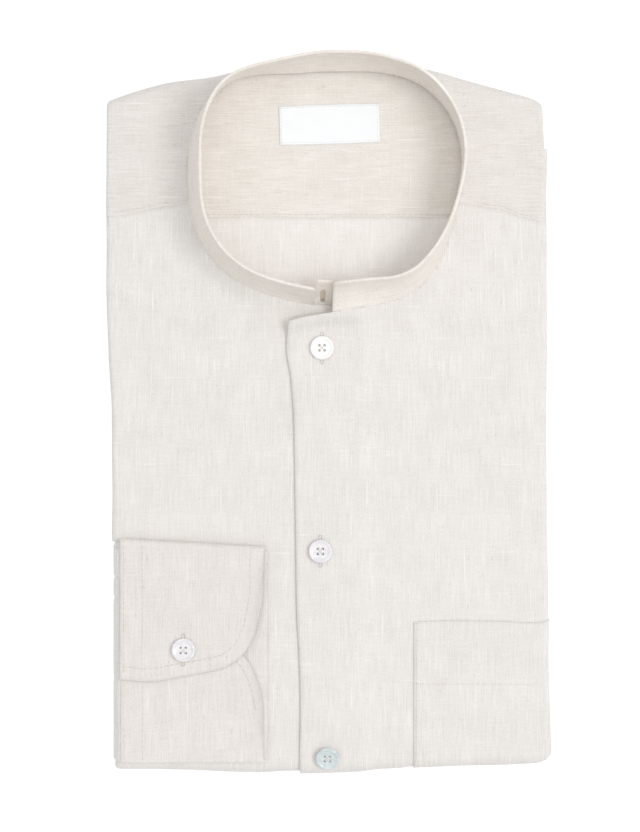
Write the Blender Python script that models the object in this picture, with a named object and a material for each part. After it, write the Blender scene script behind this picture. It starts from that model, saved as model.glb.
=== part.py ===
"""Mandarin collar shirt of linen, buttoned, folded and laid flat with its fronts up.

+X is the right side seen from above, +Y points to the collar, +Z is up, and the folded shirt
rests on z = 0. Both fronts run down the top of the stack, round the bottom fold and back along
the underside, and their sides hook round the folded layers. Every cloth piece is a thin wall.
Lengths in the tables are millimetres; solids are made in metres and centred on the stack's box.
"""
import math
from collections import namedtuple

import bmesh
import bpy
import numpy as np
from mathutils import Matrix, Vector

MM = 0.001

# ---- driving sizes, in millimetres ------------------------------------------------------
CLOTH = 1.2              # wall of fronts, yokes and back
POCKET_CLOTH = 1.0
CUFF_CLOTH = 1.6
COLLAR_CLOTH = 2.0
SLEEVE_CLOTH = 1.0
LABEL_CLOTH = 1.0
GAP = 0.3                # clear space at every seam and between layers
LAYER = CLOTH + GAP

STACK_HEIGHT = 17.0      # folded stack at its sides
DOME = 0.8               # how much higher the middle of the stack is
SHOULDER_HEIGHT = 11.0   # top of the stack at the shoulder edge
FALL_FROM, FALL_TO = 70.0, 165.0
HALF_WIDTH = 110.0

FOLD_REACH = 6.5         # how far the bottom fold bulges along Y
SHOULDER_REACH = 5.0     # the same for the fold over the shoulders
HOOK_TOP = 5.0           # height of the side fold of the upper half
HOOK_UNDER = 4.4         # height of the side fold of the lower half
HOOK_SHOULDER = 3.5
HOOK_REACH = 10.0        # how far the turned side runs inwards
TAIL_EDGE = 132.0        # where the turned-up lower half ends on the underside
YOKE_UNDER_EDGE = 134.0
YOKE_SEAM = 96.5         # seam of the inner yoke and the back
UNDER_LEFT, UNDER_RIGHT = -106.5, 110.0   # side edges of the lower half

UNDERLAP_EDGE = 12.0     # hidden front edge of the right front
LAP_EASE_FROM, LAP_EASE_TO = 14.0, 26.0   # the overlap eases down to the single front
UNDER_EASE_FROM, UNDER_EASE_TO = -23.0, -35.0
BUTTON_TROUGH = 2.6      # the lower half's placket stands clear of the floor for its buttons
TROUGH_X, TROUGH_HALF, TROUGH_SLOPE = -3.0, 9.0, 7.0
TROUGH_FROM, TROUGH_TO = -160.0, -135.0   # where it rises behind the bottom fold

COLLAR_X, COLLAR_Y = 2.0, 120.0
COLLAR_HEIGHT = 30.0

POCKET_EDGE, POCKET_TOP, POCKET_UNDER_END = 42.5, -105.0, -128.0
POCKET_LAYER = POCKET_CLOTH + GAP

CUFF_SEAM = -103.85      # cuff's edge at the sleeve
CUFF_BACK_HEM, CUFF_TOP_HEM = -31.0, -33.0
CUFF_BACK, CUFF_LAP, CUFF_FLAP = 1.1, 3.4, 5.3   # middles of its layers above the front

BUTTON_RADIUS, BUTTON_THICK = 5.9, 2.0
BUTTON_HOLE, BUTTON_HOLE_AT = 0.75, 1.25

# ---- tables: one row for each place where an outline turns -------------------------------
Edge = namedtuple("Edge", "along side")          # side edge: Y, X
LEFT_EDGE = [Edge(-180, -103.5), Edge(-63, -103.5), Edge(-55, -108.5),
             Edge(0, -109.0), Edge(30, -110.5), Edge(60, -111.5), Edge(155, -111.5)]
RIGHT_EDGE = [Edge(-180, 111.3), Edge(-150, 110.2), Edge(-120, 109.4), Edge(-90, 109.6),
              Edge(-60, 108.9), Edge(45, 109.2), Edge(120, 108.4), Edge(155, 107.6)]
PLACKET_EDGE = [Edge(-173, -14.3), Edge(-149, -14.0), Edge(-124, -14.5), Edge(-100, -15.8),
                Edge(-27, -16.8), Edge(-4, -17.3), Edge(16, -18.7), Edge(32, -21.0), Edge(48, -19.5)]

Turn = namedtuple("Turn", "across along")        # fold or seam line: X, Y
BOTTOM_FOLD = [Turn(-110, -179.5), Turn(-60, -180.8), Turn(-25, -181.6), Turn(15, -180.2),
               Turn(50, -178.6), Turn(100, -177.2)]
SHOULDER_EDGE = [Turn(-111.5, 156), Turn(-100.5, 160), Turn(-90.5, 163), Turn(-80.5, 165.5),
                 Turn(-60.5, 168), Turn(-50.5, 169.5), Turn(-25, 174.5), Turn(0, 176),
                 Turn(25, 175), Turn(49.5, 172), Turn(69.5, 166.5), Turn(89.5, 161),
                 Turn(103, 157), Turn(108.5, 153.5)]
FRONT_SEAM = [Turn(-112, 97.0), Turn(-101.5, 98.5), Turn(-80, 102.5), Turn(-60, 104),
              Turn(60, 104), Turn(73, 102.5), Turn(86.5, 100.5), Turn(97, 96.5), Turn(107, 94.5)]
LAP_TOP = [Turn(0.5, 49), Turn(-13.5, 46.7), Turn(-19.5, 45), Turn(-26, 44)]
CUFF_TOP = [Turn(-104, -63.5), Turn(-33, -67.5)]
CUFF_BOTTOM = [Turn(-104, -176.0), Turn(-31, -175.4)]
FLAP_END = [Turn(-104, -133.5), Turn(-89.5, -134.5), Turn(-74.5, -132), Turn(-53.5, -128),
            Turn(-43, -121), Turn(-37, -110), Turn(-33, -91.5)]
LAP_END = [Turn(-104, -112), Turn(-52, -114), Turn(-43, -122), Turn(-38.5, -128.5),
           Turn(-35, -137.5), Turn(-33, -146.5)]

# collar band: direction round its middle (degrees), radius of the rim, and how far the neck
# seam lies outside the rim (below 0 where the band leans outwards)
Band = namedtuple("Band", "turn rim lean")
COLLAR = [Band(-87, 57.6, 14.7), Band(-76, 57.6, 13.6), Band(-63, 61.8, 12.0), Band(-55, 65.0, 9.0),
          Band(-44, 65.0, 6.5), Band(-32, 64.0, 3.8), Band(-15, 63.6, 1.2), Band(5, 66.2, 0.0),
          Band(24, 67.8, -1.0), Band(44, 66.8, -3.0), Band(57, 63.0, -4.0), Band(71, 60.4, -5.5),
          Band(87, 58.4, -6.0), Band(109, 59.6, -5.0), Band(128, 65.0, -1.0), Band(142, 70.0, 2.0),
          Band(158, 69.0, 5.0), Band(180, 66.0, 7.5), Band(206, 68.8, 7.5), Band(226, 67.2, 7.5),
          Band(245, 62.7, 7.5), Band(260, 61.0, 7.3)]

# leaves of the folded layers between the two side folds: how far each tip stays from the edge
Leaf = namedtuple("Leaf", "along left right low high")
LEAVES = [Leaf(-165, 12, 11, 7.4, 6.8), Leaf(-160, 12, 3.0, 7.4, 6.8), Leaf(-100, 12, 2.6, 7.4, 6.8),
          Leaf(-85, 12, 2.4, 5.0, 5.6), Leaf(-60, 12, 2.6, 5.0, 5.6), Leaf(-48, 3.0, 2.8, 5.0, 5.6),
          Leaf(60, 2.6, 2.4, 5.0, 5.6), Leaf(112, 4.0, 3.5, 5.0, 5.6), Leaf(126, 11, 11, 5.4, 5.4),
          Leaf(180, 11, 11, 5.4, 5.4)]

Button = namedtuple("Button", "name across along on")
BUTTONS = [Button("button_1", -3.5, 31.5, "placket"), Button("button_2", -4.3, -70.0, "placket"),
           Button("button_3", -0.8, -173.0, "fold"), Button("button_4", -3.0, -98.0, "under"),
           Button("button_5", -3.0, 4.0, "under"), Button("button_6", -3.0, 106.0, "under"),
           Button("button_cuff", -72.5, -119.0, "cuff")]


# ---- small helpers --------------------------------------------------------------------
def read(rows, at, column=1):
    """Value of a table's column at a place in its first column."""
    ordered = sorted(rows)
    return float(np.interp(at, [row[0] for row in ordered], [row[column] for row in ordered]))


def ease(share):
    """0 to 1 with level ends."""
    share = min(max(share, 0.0), 1.0)
    return share * share * (3.0 - 2.0 * share)


def mix(first, second, share):
    return first + (second - first) * share


def finish_material(name, color, roughness):
    material = bpy.data.materials.new(name)
    material.use_nodes = True
    shader = material.node_tree.nodes["Principled BSDF"]
    shader.inputs["Base Color"].default_value = (*color, 1.0)
    shader.inputs["Roughness"].default_value = roughness
    shader.inputs["Metallic"].default_value = 0.0
    material.diffuse_color = (*color, 1.0)
    return material


def make_object(name, shape, material):
    """Turn a bmesh in millimetres into a named object in metres with outward faces."""
    bmesh.ops.recalc_face_normals(shape, faces=shape.faces)
    bmesh.ops.scale(shape, vec=(MM, MM, MM), verts=shape.verts)
    mesh = bpy.data.meshes.new(name)
    shape.to_mesh(mesh)
    shape.free()
    mesh.shade_smooth()
    mesh.set_sharp_from_angle(angle=math.radians(40))
    if material:
        mesh.materials.append(material)
    thing = bpy.data.objects.new(name, mesh)
    bpy.context.collection.objects.link(thing)
    return thing


def wall(name, outer, inner, material, mirrored=False):
    """Closed wall between two grids of points with the same rows and columns.

    Mirrored panels list their columns the other way, and split their cells the other way too,
    so that facing walls have the same facets.
    """
    shape = bmesh.new()
    rows, columns = len(outer), len(outer[0])
    out = [[shape.verts.new(point) for point in row] for row in outer]
    back = [[shape.verts.new(point) for point in row] for row in inner]
    for grid in (out, back):
        for i in range(rows - 1):
            for j in range(columns - 1):
                a, b, c, d = grid[i][j], grid[i + 1][j], grid[i + 1][j + 1], grid[i][j + 1]
                for corners in (((b, c, d), (b, d, a)) if mirrored else ((a, b, c), (a, c, d))):
                    shape.faces.new(corners)
    for j in range(columns - 1):
        for i in (0, rows - 1):
            shape.faces.new((out[i][j], out[i][j + 1], back[i][j + 1], back[i][j]))
    for i in range(rows - 1):
        for j in (0, columns - 1):
            shape.faces.new((out[i][j], back[i][j], back[i + 1][j], out[i + 1][j]))
    return make_object(name, shape, material)


def loft(name, rings, material, fold=None):
    """Closed solid through closed rings of points.

    Its two end rings are filled flat or, where fold is given, with a ladder of cells between
    the points i and fold - i.
    """
    shape = bmesh.new()
    loops = [[shape.verts.new(point) for point in ring] for ring in rings]
    count = len(loops[0])
    for first, second in zip(loops, loops[1:]):
        for j in range(count):
            k = (j + 1) % count
            shape.faces.new((first[j], first[k], second[k], second[j]))
    for end in (loops[0], loops[-1]):
        if fold is None:
            cap = shape.faces.new(end)
            bmesh.ops.triangulate(shape, faces=[cap])
            continue
        for i in range(fold // 2 - count // 2, fold // 2):
            corners = [end[k % count] for k in (i, i + 1, fold - i - 1, fold - i)]
            shape.faces.new(list(dict.fromkeys(corners)))
    return make_object(name, shape, material)


# ---- the folded stack's form --------------------------------------------------------------
def top_height(x, y):
    """Height of the single fronts' upper face over a place."""
    dome = DOME * max(1.0 - (x / HALF_WIDTH) ** 2, 0.0) ** 2
    fall = ease((y - FALL_FROM) / (FALL_TO - FALL_FROM))
    return STACK_HEIGHT + dome - (STACK_HEIGHT - SHOULDER_HEIGHT + dome) * fall


def under_height(y):
    """Height of the yoke's lower face, which sinks to the floor behind the tail."""
    return 6.0 * ease((152.0 - y) / 24.0)


def bottom_wrap(x, station, depth):
    """(y, z) on the fronts' wrap: down the top, round the bottom fold, along the underside."""
    part, share = station
    fold = read(BOTTOM_FOLD, x)
    start = fold + FOLD_REACH
    half = top_height(x, start) / 2
    if part == "top":
        y = mix(read(FRONT_SEAM, x) - GAP / 2, start, share)
        return y, top_height(x, y) - depth
    if part == "fold":
        angle = math.pi * share
        return start - (FOLD_REACH - depth) * math.sin(angle), half + (half - depth) * math.cos(angle)
    return mix(start, TAIL_EDGE, share), depth


def shoulder_wrap(x, station, depth):
    """(y, z) on the outer yoke's wrap: up the top, over the shoulder fold, back underneath."""
    part, share = station
    start = read(SHOULDER_EDGE, x) - SHOULDER_REACH
    low = under_height(start)
    half = (top_height(x, start) - low) / 2
    if part == "top":
        y = mix(read(FRONT_SEAM, x) + GAP / 2, start, share)
        return y, top_height(x, y) - depth
    if part == "fold":
        angle = math.pi * share
        return start + (SHOULDER_REACH - depth) * math.sin(angle), low + half + (half - depth) * math.cos(angle)
    y = mix(start, YOKE_UNDER_EDGE, share)
    return y, under_height(y) + depth


def turned(station):
    """0 on the top of the stack, 1 on its underside."""
    part, share = station
    return {"top": 0.0, "fold": ease(share), "under": 1.0}[part]


def side_line(rows, under_edge, wrap, station, near):
    """X of the side edge at a station; the lower half's edge takes over behind the fold."""
    y = wrap(near, station, 0.0)[0]
    part, share = station
    return mix(read(rows, y), under_edge, ease(share / 0.12) if part == "under" else 0.0)


def side_hook(edge, side, hook, offset, steps=4):
    """(x, depth) round a side fold and along the turned side, moved out by offset."""
    radius = hook / 2
    middle = edge - side * radius
    points = []
    for k in range(steps + 1):
        angle = math.pi * k / steps
        points.append((middle + side * (radius + offset) * math.sin(angle),
                       radius - (radius + offset) * math.cos(angle)))
    points.append((edge - side * HOOK_REACH, hook + offset))
    return points


def stations(top_run, fold_steps, under_run):
    """Rows of a wrap: given shares of its two straight runs, even steps round its fold."""
    rows = [("top", share) for share in top_run]
    rows += [("fold", k / fold_steps) for k in range(fold_steps)]
    return rows + [("under", share) for share in under_run]


# ---- the two fronts -------------------------------------------------------------------
def placket_trough(x, y):
    """How far the lower half's placket stands up from the floor."""
    across = ease((TROUGH_HALF + TROUGH_SLOPE - abs(x - TROUGH_X)) / TROUGH_SLOPE)
    rise = min(max((y - TROUGH_FROM) / (TROUGH_TO - TROUGH_FROM), 0.0), 1.0)
    return BUTTON_TROUGH * across * rise


def pocket_zone(x, y):
    """1 under the pocket's lower half, 0 away from it."""
    return ease((x - POCKET_EDGE + 8.0) / 7.0) * ease((POCKET_UNDER_END + 8.0 - y) / 7.0)


def left_depth(x, station):
    """Depth of the left front's outer face: proud on the top, level on the underside."""
    under = turned(station)
    y = bottom_wrap(x, station, 0.0)[0]
    lap = ease((LAP_EASE_TO - x) / (LAP_EASE_TO - LAP_EASE_FROM))
    depth = -LAYER * (1.0 - under) * lap + POCKET_LAYER * under * pocket_zone(x, y)
    if station[0] == "under":
        depth += placket_trough(x, y)
    return depth


def right_depth(x, station):
    """Depth of the right front's outer face, one layer below the left front at the placket."""
    under = turned(station)
    y = bottom_wrap(x, station, 0.0)[0]
    lap = ease((x - UNDER_EASE_TO) / (UNDER_EASE_FROM - UNDER_EASE_TO))
    depth = LAYER * under * lap
    if station[0] == "under":
        depth += placket_trough(x, y)
    return depth


def front_hook(station):
    return mix(HOOK_TOP, HOOK_UNDER, turned(station))


def front_grid(columns, rows, side_rows, under_edge, side, lift, offset, first_edge=None):
    """Points of a front, or of what lies on it, moved out by offset from its outer face."""
    grid = []
    for station in rows:
        edge = side_line(side_rows, under_edge, bottom_wrap, station, side * 105.0)
        across = list(columns)
        if first_edge is not None:
            across[0] = read(first_edge, bottom_wrap(across[0], station, 0.0)[0])
            if station[0] == "under":
                across[0] = first_edge[0].side
        profile = [(x, -offset) for x in across] + side_hook(edge, side, front_hook(station), offset)
        row = []
        for x, depth in profile:
            y, z = bottom_wrap(x, station, depth + lift(x, station))
            row.append((x, y, z))
        grid.append(row)
    return grid


# closer together where the stack falls towards the neck and where the sleeve turns the side
FRONT_RUN = [0.0, 0.033, 0.066, 0.1, 0.135, 0.19, 0.29, 0.4, 0.5, 0.569, 0.6, 0.72, 0.82, 0.91]
UNDER_RUN = [0.0, 0.041, 0.123, 0.25, 0.4, 0.55, 0.7, 0.85, 1.0]
FRONT_ROWS = stations(FRONT_RUN, 6, UNDER_RUN)
LEFT_COLUMNS = [-16.0, -12, -3, 6, 9.5, UNDERLAP_EDGE, 14, 18, 22, 26, 42, 62, 84, 96]
RIGHT_COLUMNS = [UNDERLAP_EDGE, 9.5, 6, -3, -12, PLACKET_EDGE[0].side, -16.5, -19, -23, -27, -31, -35, -60, -92]


def left_front_points(offset, rows, columns, first_edge=None):
    return front_grid(columns, rows, RIGHT_EDGE, UNDER_RIGHT, 1, left_depth, offset, first_edge)


def make_left_front(linen):
    outer, inner = (left_front_points(offset, FRONT_ROWS, LEFT_COLUMNS, PLACKET_EDGE)
                    for offset in (0.0, -CLOTH))
    return wall("front_left", outer, inner, linen)


def make_right_front(linen):
    outer, inner = (front_grid(RIGHT_COLUMNS, FRONT_ROWS, LEFT_EDGE, UNDER_LEFT, -1, right_depth, offset)
                    for offset in (0.0, -CLOTH))
    return wall("front_right", outer, inner, linen, mirrored=True)


def make_pocket(linen):
    """The pocket lies on the left front's points and turns the side and the bottom with it."""
    top_run = read(FRONT_SEAM, 80) - read(BOTTOM_FOLD, 80) - FOLD_REACH
    under_run = TAIL_EDGE - read(BOTTOM_FOLD, 80) - FOLD_REACH
    first = (read(FRONT_SEAM, 80) - POCKET_TOP) / top_run
    last = (POCKET_UNDER_END - read(BOTTOM_FOLD, 80) - FOLD_REACH) / under_run
    rows = [("top", mix(first, 1.0, k / 4)) for k in range(4)]
    rows += [("fold", k / 6) for k in range(6)]
    rows += [("under", last * k / 3) for k in range(4)]
    columns = [POCKET_EDGE, 62, 84, 96]
    outer, inner = (left_front_points(offset, rows, columns) for offset in (POCKET_LAYER, GAP))
    return wall("pocket", outer, inner, linen)


# ---- yokes, back and label ----------------------------------------------------------------
def yoke_hook(station, y):
    return mix(mix(HOOK_TOP, HOOK_SHOULDER, ease((y - 95.0) / 50.0)), HOOK_SHOULDER, turned(station))


def make_outer_yoke(linen):
    """One panel from both front seams over the shoulders to the underside, with side folds."""
    columns = [-98.0, -88, -76, -64, -52, -38, -20, 0, 20, 38, 52, 64, 76, 88, 95]
    grids = []
    for offset in (0.0, -CLOTH):
        grid = []
        for station in stations([k / 8 for k in range(8)], 5, [0.0, 0.33, 0.67, 1.0]):
            left = side_line(LEFT_EDGE, LEFT_EDGE[-1].side, shoulder_wrap, station, -105.0)
            right = side_line(RIGHT_EDGE, RIGHT_EDGE[-1].side, shoulder_wrap, station, 103.0)
            y = shoulder_wrap(0.0, station, 0.0)[0]
            hook = yoke_hook(station, y)
            profile = side_hook(left, -1, hook, offset)[::-1] + [(x, -offset) for x in columns]
            profile += side_hook(right, 1, hook, offset)
            grid.append([(x, *shoulder_wrap(x, station, depth)) for x, depth in profile])
        grids.append(grid)
    return wall("yoke_outer", *grids, linen)


def flat_panel(name, columns, line_low, line_high, shares, depth, linen):
    """Panel lying inside the stack between two lines across it."""
    grids = []
    for level in (depth, depth + CLOTH):
        grid = []
        for share in shares:
            row = [(x, mix(line_low(x), line_high(x), share)) for x in columns]
            grid.append([(x, y, top_height(x, y) - level) for x, y in row])
        grids.append(grid)
    return wall(name, *grids, linen)


def make_inner_yoke(linen):
    return flat_panel("yoke_inner", [-100.5, -75, -50, -25, 0, 25, 50, 75, 95],
                      lambda x: YOKE_SEAM + GAP / 2,
                      lambda x: read(SHOULDER_EDGE, x) - SHOULDER_REACH - 1.0,
                      [k / 7 for k in range(8)], LAYER, linen)


def make_back(linen):
    return flat_panel("back_panel", [-92.5, -60, -30, 0, 30, 60, 95],
                      lambda x: -165.0, lambda x: YOKE_SEAM - GAP / 2,
                      [0.0, 0.3, 0.6, 0.8, 0.88, 0.92, 0.96, 1.0], LAYER, linen)


def make_label(white):
    """Bare woven label on the inner yoke, a little askew."""
    width, height, tilt, place = 50.0, 19.2, math.radians(1.8), (0.3, 144.0)
    grids = []
    for level in (LAYER - GAP - LABEL_CLOTH, LAYER - GAP):
        grid = []
        for k in range(4):
            row = []
            for j in range(7):
                a, b = width * (j / 6 - 0.5), height * (k / 3 - 0.5)
                x = place[0] + a * math.cos(tilt) - b * math.sin(tilt)
                y = place[1] + a * math.sin(tilt) + b * math.cos(tilt)
                row.append((x, y, top_height(x, y) - level))
            grid.append(row)
        grids.append(grid)
    return wall("neck_label", *grids, white)


# ---- collar ---------------------------------------------------------------------------
def collar_seam(turn, outside=0.0):
    """(x, y) of the neck seam in a direction, moved outwards."""
    radius = read(COLLAR, turn) + read(COLLAR, turn, 2) + outside
    angle = math.radians(turn)
    return COLLAR_X + radius * math.cos(angle), COLLAR_Y + radius * math.sin(angle)


def make_collar(linen):
    """Standing band: ruled from the neck seam to the rim, its upper edge rounded."""
    turns = np.linspace(COLLAR[0].turn, COLLAR[-1].turn, 49)
    levels = [(0.0, 0.0), (0.34, 0.0), (0.67, 0.0), (0.97, 0.0), (1.0, 0.6)]   # height, narrowing
    grids = []
    for inward in (0.0, COLLAR_CLOTH):
        grid = []
        for turn in turns:
            rim, lean = read(COLLAR, turn), read(COLLAR, turn, 2)
            base = top_height(*collar_seam(turn)) - CLOTH
            rise = math.sqrt(COLLAR_HEIGHT ** 2 - lean ** 2)
            angle = math.radians(turn)
            row = []
            for share, narrow in levels:
                radius = rim + lean * (1.0 - share) - inward + (narrow if inward else -narrow)
                row.append((COLLAR_X + radius * math.cos(angle), COLLAR_Y + radius * math.sin(angle),
                            base + rise * share))
            grid.append(row)
        grids.append(grid)
    return wall("collar_band", *grids, linen)


def neck_cutter(name, front_line):
    """Prism of the neck hole: just outside the collar's seam, closed across the front."""
    first, last = COLLAR[0].turn, COLLAR[-1].turn
    if front_line:
        last -= 12
    outline = [collar_seam(turn, GAP) for turn in np.linspace(first, last, 60)]
    outline += [(row.across, row.along) for row in reversed(front_line)]
    cutter = loft(name, [[(x, y, z) for x, y in outline] for z in (7.5, 60.0)], None)
    cutter.hide_render = True
    cutter.display_type = "WIRE"
    return cutter


def cut_neck(panel, cutter):
    cut = panel.modifiers.new("neck", "BOOLEAN")
    cut.operation = "DIFFERENCE"
    cut.solver = "EXACT"
    cut.object = cutter


# ---- cuff and sleeve ------------------------------------------------------------------
def cuff_path(x):
    """(y, height above the front, normal y, normal z, hem x) from the flap's end round to the lap."""
    flap, lap = read(FLAP_END, x), read(LAP_END, x)
    top, bottom = read(CUFF_TOP, x), read(CUFF_BOTTOM, x)
    big, small = (CUFF_FLAP - CUFF_BACK) / 2, (CUFF_LAP - CUFF_BACK) / 2
    half = CUFF_CLOTH / 2
    top_start, bottom_start = top - big - half, bottom + small + half
    path = [(mix(flap, top_start, k / 5), CUFF_FLAP, 0.0, 1.0, CUFF_TOP_HEM) for k in range(5)]
    for k in range(5):
        angle = math.pi * k / 4
        path.append((top_start + big * math.sin(angle), CUFF_BACK + big + big * math.cos(angle),
                     math.sin(angle), math.cos(angle), mix(CUFF_TOP_HEM, CUFF_BACK_HEM, k / 4)))
    path += [(mix(top_start, bottom_start, k / 6), CUFF_BACK, 0.0, -1.0, CUFF_BACK_HEM) for k in range(1, 6)]
    for k in range(5):
        angle = math.pi * k / 4
        path.append((bottom_start - small * math.sin(angle), CUFF_BACK + small - small * math.cos(angle),
                     -math.sin(angle), -math.cos(angle), mix(CUFF_BACK_HEM, CUFF_TOP_HEM, k / 4)))
    path += [(mix(bottom_start, lap, k / 4), CUFF_LAP, 0.0, 1.0, CUFF_TOP_HEM) for k in range(1, 5)]
    return path


def make_cuff(linen):
    """Flattened cuff: one strip wound from the flap over the top, behind and back to the lap."""
    columns = [CUFF_SEAM, -90, -74, -60, -50, -43, -38.5, -35.5, CUFF_TOP_HEM]
    grids = []
    for side in (CUFF_CLOTH / 2, -CUFF_CLOTH / 2):
        grid = []
        for column in columns:
            share = (column - CUFF_SEAM) / (CUFF_TOP_HEM - CUFF_SEAM)
            row = []
            for y, height, normal_y, normal_z, hem in cuff_path(column):
                x = mix(CUFF_SEAM, hem, share)
                row.append((x, y + side * normal_y, top_height(column, y) + height + side * normal_z))
            grid.append(row)
        grids.append(grid)
    return wall("cuff", *grids, linen)


def make_sleeve(linen):
    """Flattened sleeve: leaves the cuff, turns the left side fold and runs in between the halves."""
    low, high = -175.5, -66.0
    height = top_height(-104, -120)
    centre_x, centre_z = LEFT_EDGE[1].side + HOOK_TOP / 2, height - HOOK_TOP / 2
    radius = HOOK_TOP / 2 + GAP + 1.4
    Bend = namedtuple("Bend", "x z angle half low")
    bends = [Bend(CUFF_SEAM - GAP, height + 2.3, 90, 2.0, low), Bend(-104.9, height + 0.9, 125, 1.7, low)]
    for angle, end in ((180, -172.5), (225, -167.5), (270, -167.0)):
        bends.append(Bend(centre_x + radius * math.cos(math.radians(angle)),
                          centre_z + radius * math.sin(math.radians(angle)), angle, 1.4, end))
    bends.append(Bend(-96.5, centre_z - radius, 270, 1.4, -167.0))
    shape = bmesh.new()
    loops = []
    for shrink in (0.0, SLEEVE_CLOTH):
        for bend in bends:
            half = bend.half - shrink
            normal = (math.cos(math.radians(bend.angle)), math.sin(math.radians(bend.angle)))
            ring = []
            for turn in (0, 60, 120, 180, 180, 240, 300, 360):
                across = half * math.cos(math.radians(turn))
                end = high - bend.half if len(ring) < 4 else bend.low + bend.half
                y = end + half * math.sin(math.radians(turn))
                ring.append(shape.verts.new((bend.x + normal[0] * across, y, bend.z + normal[1] * across)))
            loops.append(ring)
    count, length = len(loops[0]), len(bends)
    for start in (0, length):
        for i in range(start, start + length - 1):
            for j in range(count):
                k = (j + 1) % count
                shape.faces.new((loops[i][j], loops[i][k], loops[i + 1][k], loops[i + 1][j]))
    for i in (0, length - 1):
        for j in range(count):
            k = (j + 1) % count
            shape.faces.new((loops[i][j], loops[i][k], loops[i + length][k], loops[i + length][j]))
    return make_object("sleeve", shape, linen)


# ---- the folded layers inside ----------------------------------------------------------
def make_folded_layers(linen):
    """Rounded bundle of the hidden layers, with two leaves showing between the side folds."""
    depth = 2 * LAYER + 0.2
    rings = []
    places = [("bottom", reach) for reach in (3.3, 3.9, 5.0, FOLD_REACH)]
    places += [("flat", y) for y in (-165, TROUGH_FROM, TROUGH_TO, -112, -97, -84, -60, -48, -15, 20, 50,
                                  64, 74, 84, 93, 102, 112, 122)]
    places += [("shoulder", share) for share in (0.25, 0.5, 0.75, 1.0)]

    def place(x, kind, value):
        fold = read(BOTTOM_FOLD, x)
        if kind == "bottom":
            return fold + value
        if kind == "flat":
            return value
        return mix(126.0, read(SHOULDER_EDGE, x) - SHOULDER_REACH - 1.5, value)

    def heights(x, kind, value):
        y = place(x, kind, value)
        if kind == "bottom":
            half = top_height(x, y) / 2
            lean = (FOLD_REACH - value) / (FOLD_REACH - depth)
            spread = (half - depth) * math.sqrt(max(1.0 - lean * lean, 0.0))
            return half - spread, half + spread
        low = depth + 1.15 * placket_trough(x, y)
        if y > 118.0:
            low = mix(low, under_height(y) + CLOTH + 1.5, ease((y - 118.0) / 8.0))
        return low, top_height(x, y) - depth

    for kind, value in places:
        y_mid = place(0.0, kind, value)
        left = max(read(LEFT_EDGE, place(-100.0, kind, value)), UNDER_LEFT) + HOOK_REACH + 1.8
        right = min(read(RIGHT_EDGE, place(100.0, kind, value)), UNDER_RIGHT) - HOOK_REACH - 1.8
        columns = [left, -60, -23, -19, -16.5, PLACKET_EDGE[0].side, -12, -3, 6, 9.5, UNDERLAP_EDGE, 14, 60, right]
        ring = []
        for x in columns:
            ring.append((x, place(x, kind, value), heights(x, kind, value)[0]))
        for side, root in ((1, right), (-1, left)):
            low, high = heights(root, kind, value)
            edge_rows = RIGHT_EDGE if side > 0 else LEFT_EDGE
            edge = read(edge_rows, place(root, kind, value))
            keep = read(LEAVES, y_mid, 2 if side > 0 else 1)
            tip = edge - side * keep
            if side * (tip - root) < 0.4 or kind == "bottom":
                tip = root + side * 0.4
            floor = max(read(LEAVES, y_mid, 3), low + 0.3)
            roof = min(low + (high - low), top_height(root, y_mid) - read(LEAVES, y_mid, 4), high - 0.3)
            if kind == "bottom" or roof - floor < 0.8:
                floor, roof = mix(low, high, 0.2), mix(low, high, 0.8)
            step = (roof - floor) / 8
            leaf = [(root, floor), (tip - side * 1.2, floor), (tip, floor + step), (tip, floor + 2.8 * step),
                    (tip - side * 1.2, floor + 3.8 * step), (root + side * 0.2, floor + 4 * step),
                    (tip - side * 2.2, floor + 4.2 * step), (tip - side * 1.0, floor + 5.2 * step),
                    (tip - side * 1.0, floor + 7 * step), (tip - side * 2.2, roof), (root, roof)]
            if side * (tip - root) < 3.0:
                leaf = [(root + side * math.sin(math.pi * k / 10), mix(floor, roof, k / 10))
                        for k in range(11)]
            if side > 0:
                ring += [(x, place(x, kind, value), z) for x, z in leaf]
                for x in reversed(columns):
                    ring.append((x, place(x, kind, value), heights(x, kind, value)[1]))
            else:
                ring += [(x, place(x, kind, value), z) for x, z in reversed(leaf)]
        rings.append(ring)
    return loft("folded_layers", rings, linen, fold=2 * len(columns) + len(leaf) - 1)


# ---- buttons --------------------------------------------------------------------------
def button_mesh(pearl):
    """Four-hole button: a turned disc with a raised rim."""
    shape = bmesh.new()
    profile = [(0.0, 0.0), (4.8, 0.0), (BUTTON_RADIUS, 1.0), (5.3, BUTTON_THICK), (3.9, 1.5), (0.0, 1.5)]
    verts = [shape.verts.new((r, 0.0, z)) for r, z in profile]
    edges = [shape.edges.new(pair) for pair in zip(verts, verts[1:])]
    bmesh.ops.spin(shape, geom=verts + edges, cent=(0, 0, 0), axis=(0, 0, 1), angle=2 * math.pi, steps=18)
    bmesh.ops.remove_doubles(shape, verts=shape.verts, dist=0.001)
    disc = make_object("button_blank", shape, pearl)
    holes = bmesh.new()
    for a in (-1, 1):
        for b in (-1, 1):
            place = Matrix.Translation((a * BUTTON_HOLE_AT, b * BUTTON_HOLE_AT, 1.0))
            bmesh.ops.create_cone(holes, cap_ends=True, segments=6, radius1=BUTTON_HOLE,
                                  radius2=BUTTON_HOLE, depth=6.0, matrix=place)
    cutter = make_object("button_holes", holes, None)
    cut_neck(disc, cutter)
    bpy.context.view_layer.update()
    seen = disc.evaluated_get(bpy.context.evaluated_depsgraph_get())
    mesh = bpy.data.meshes.new_from_object(seen)
    for thing in (disc, cutter):
        bpy.data.objects.remove(thing)
    mesh.name = "button"
    return mesh


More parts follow.
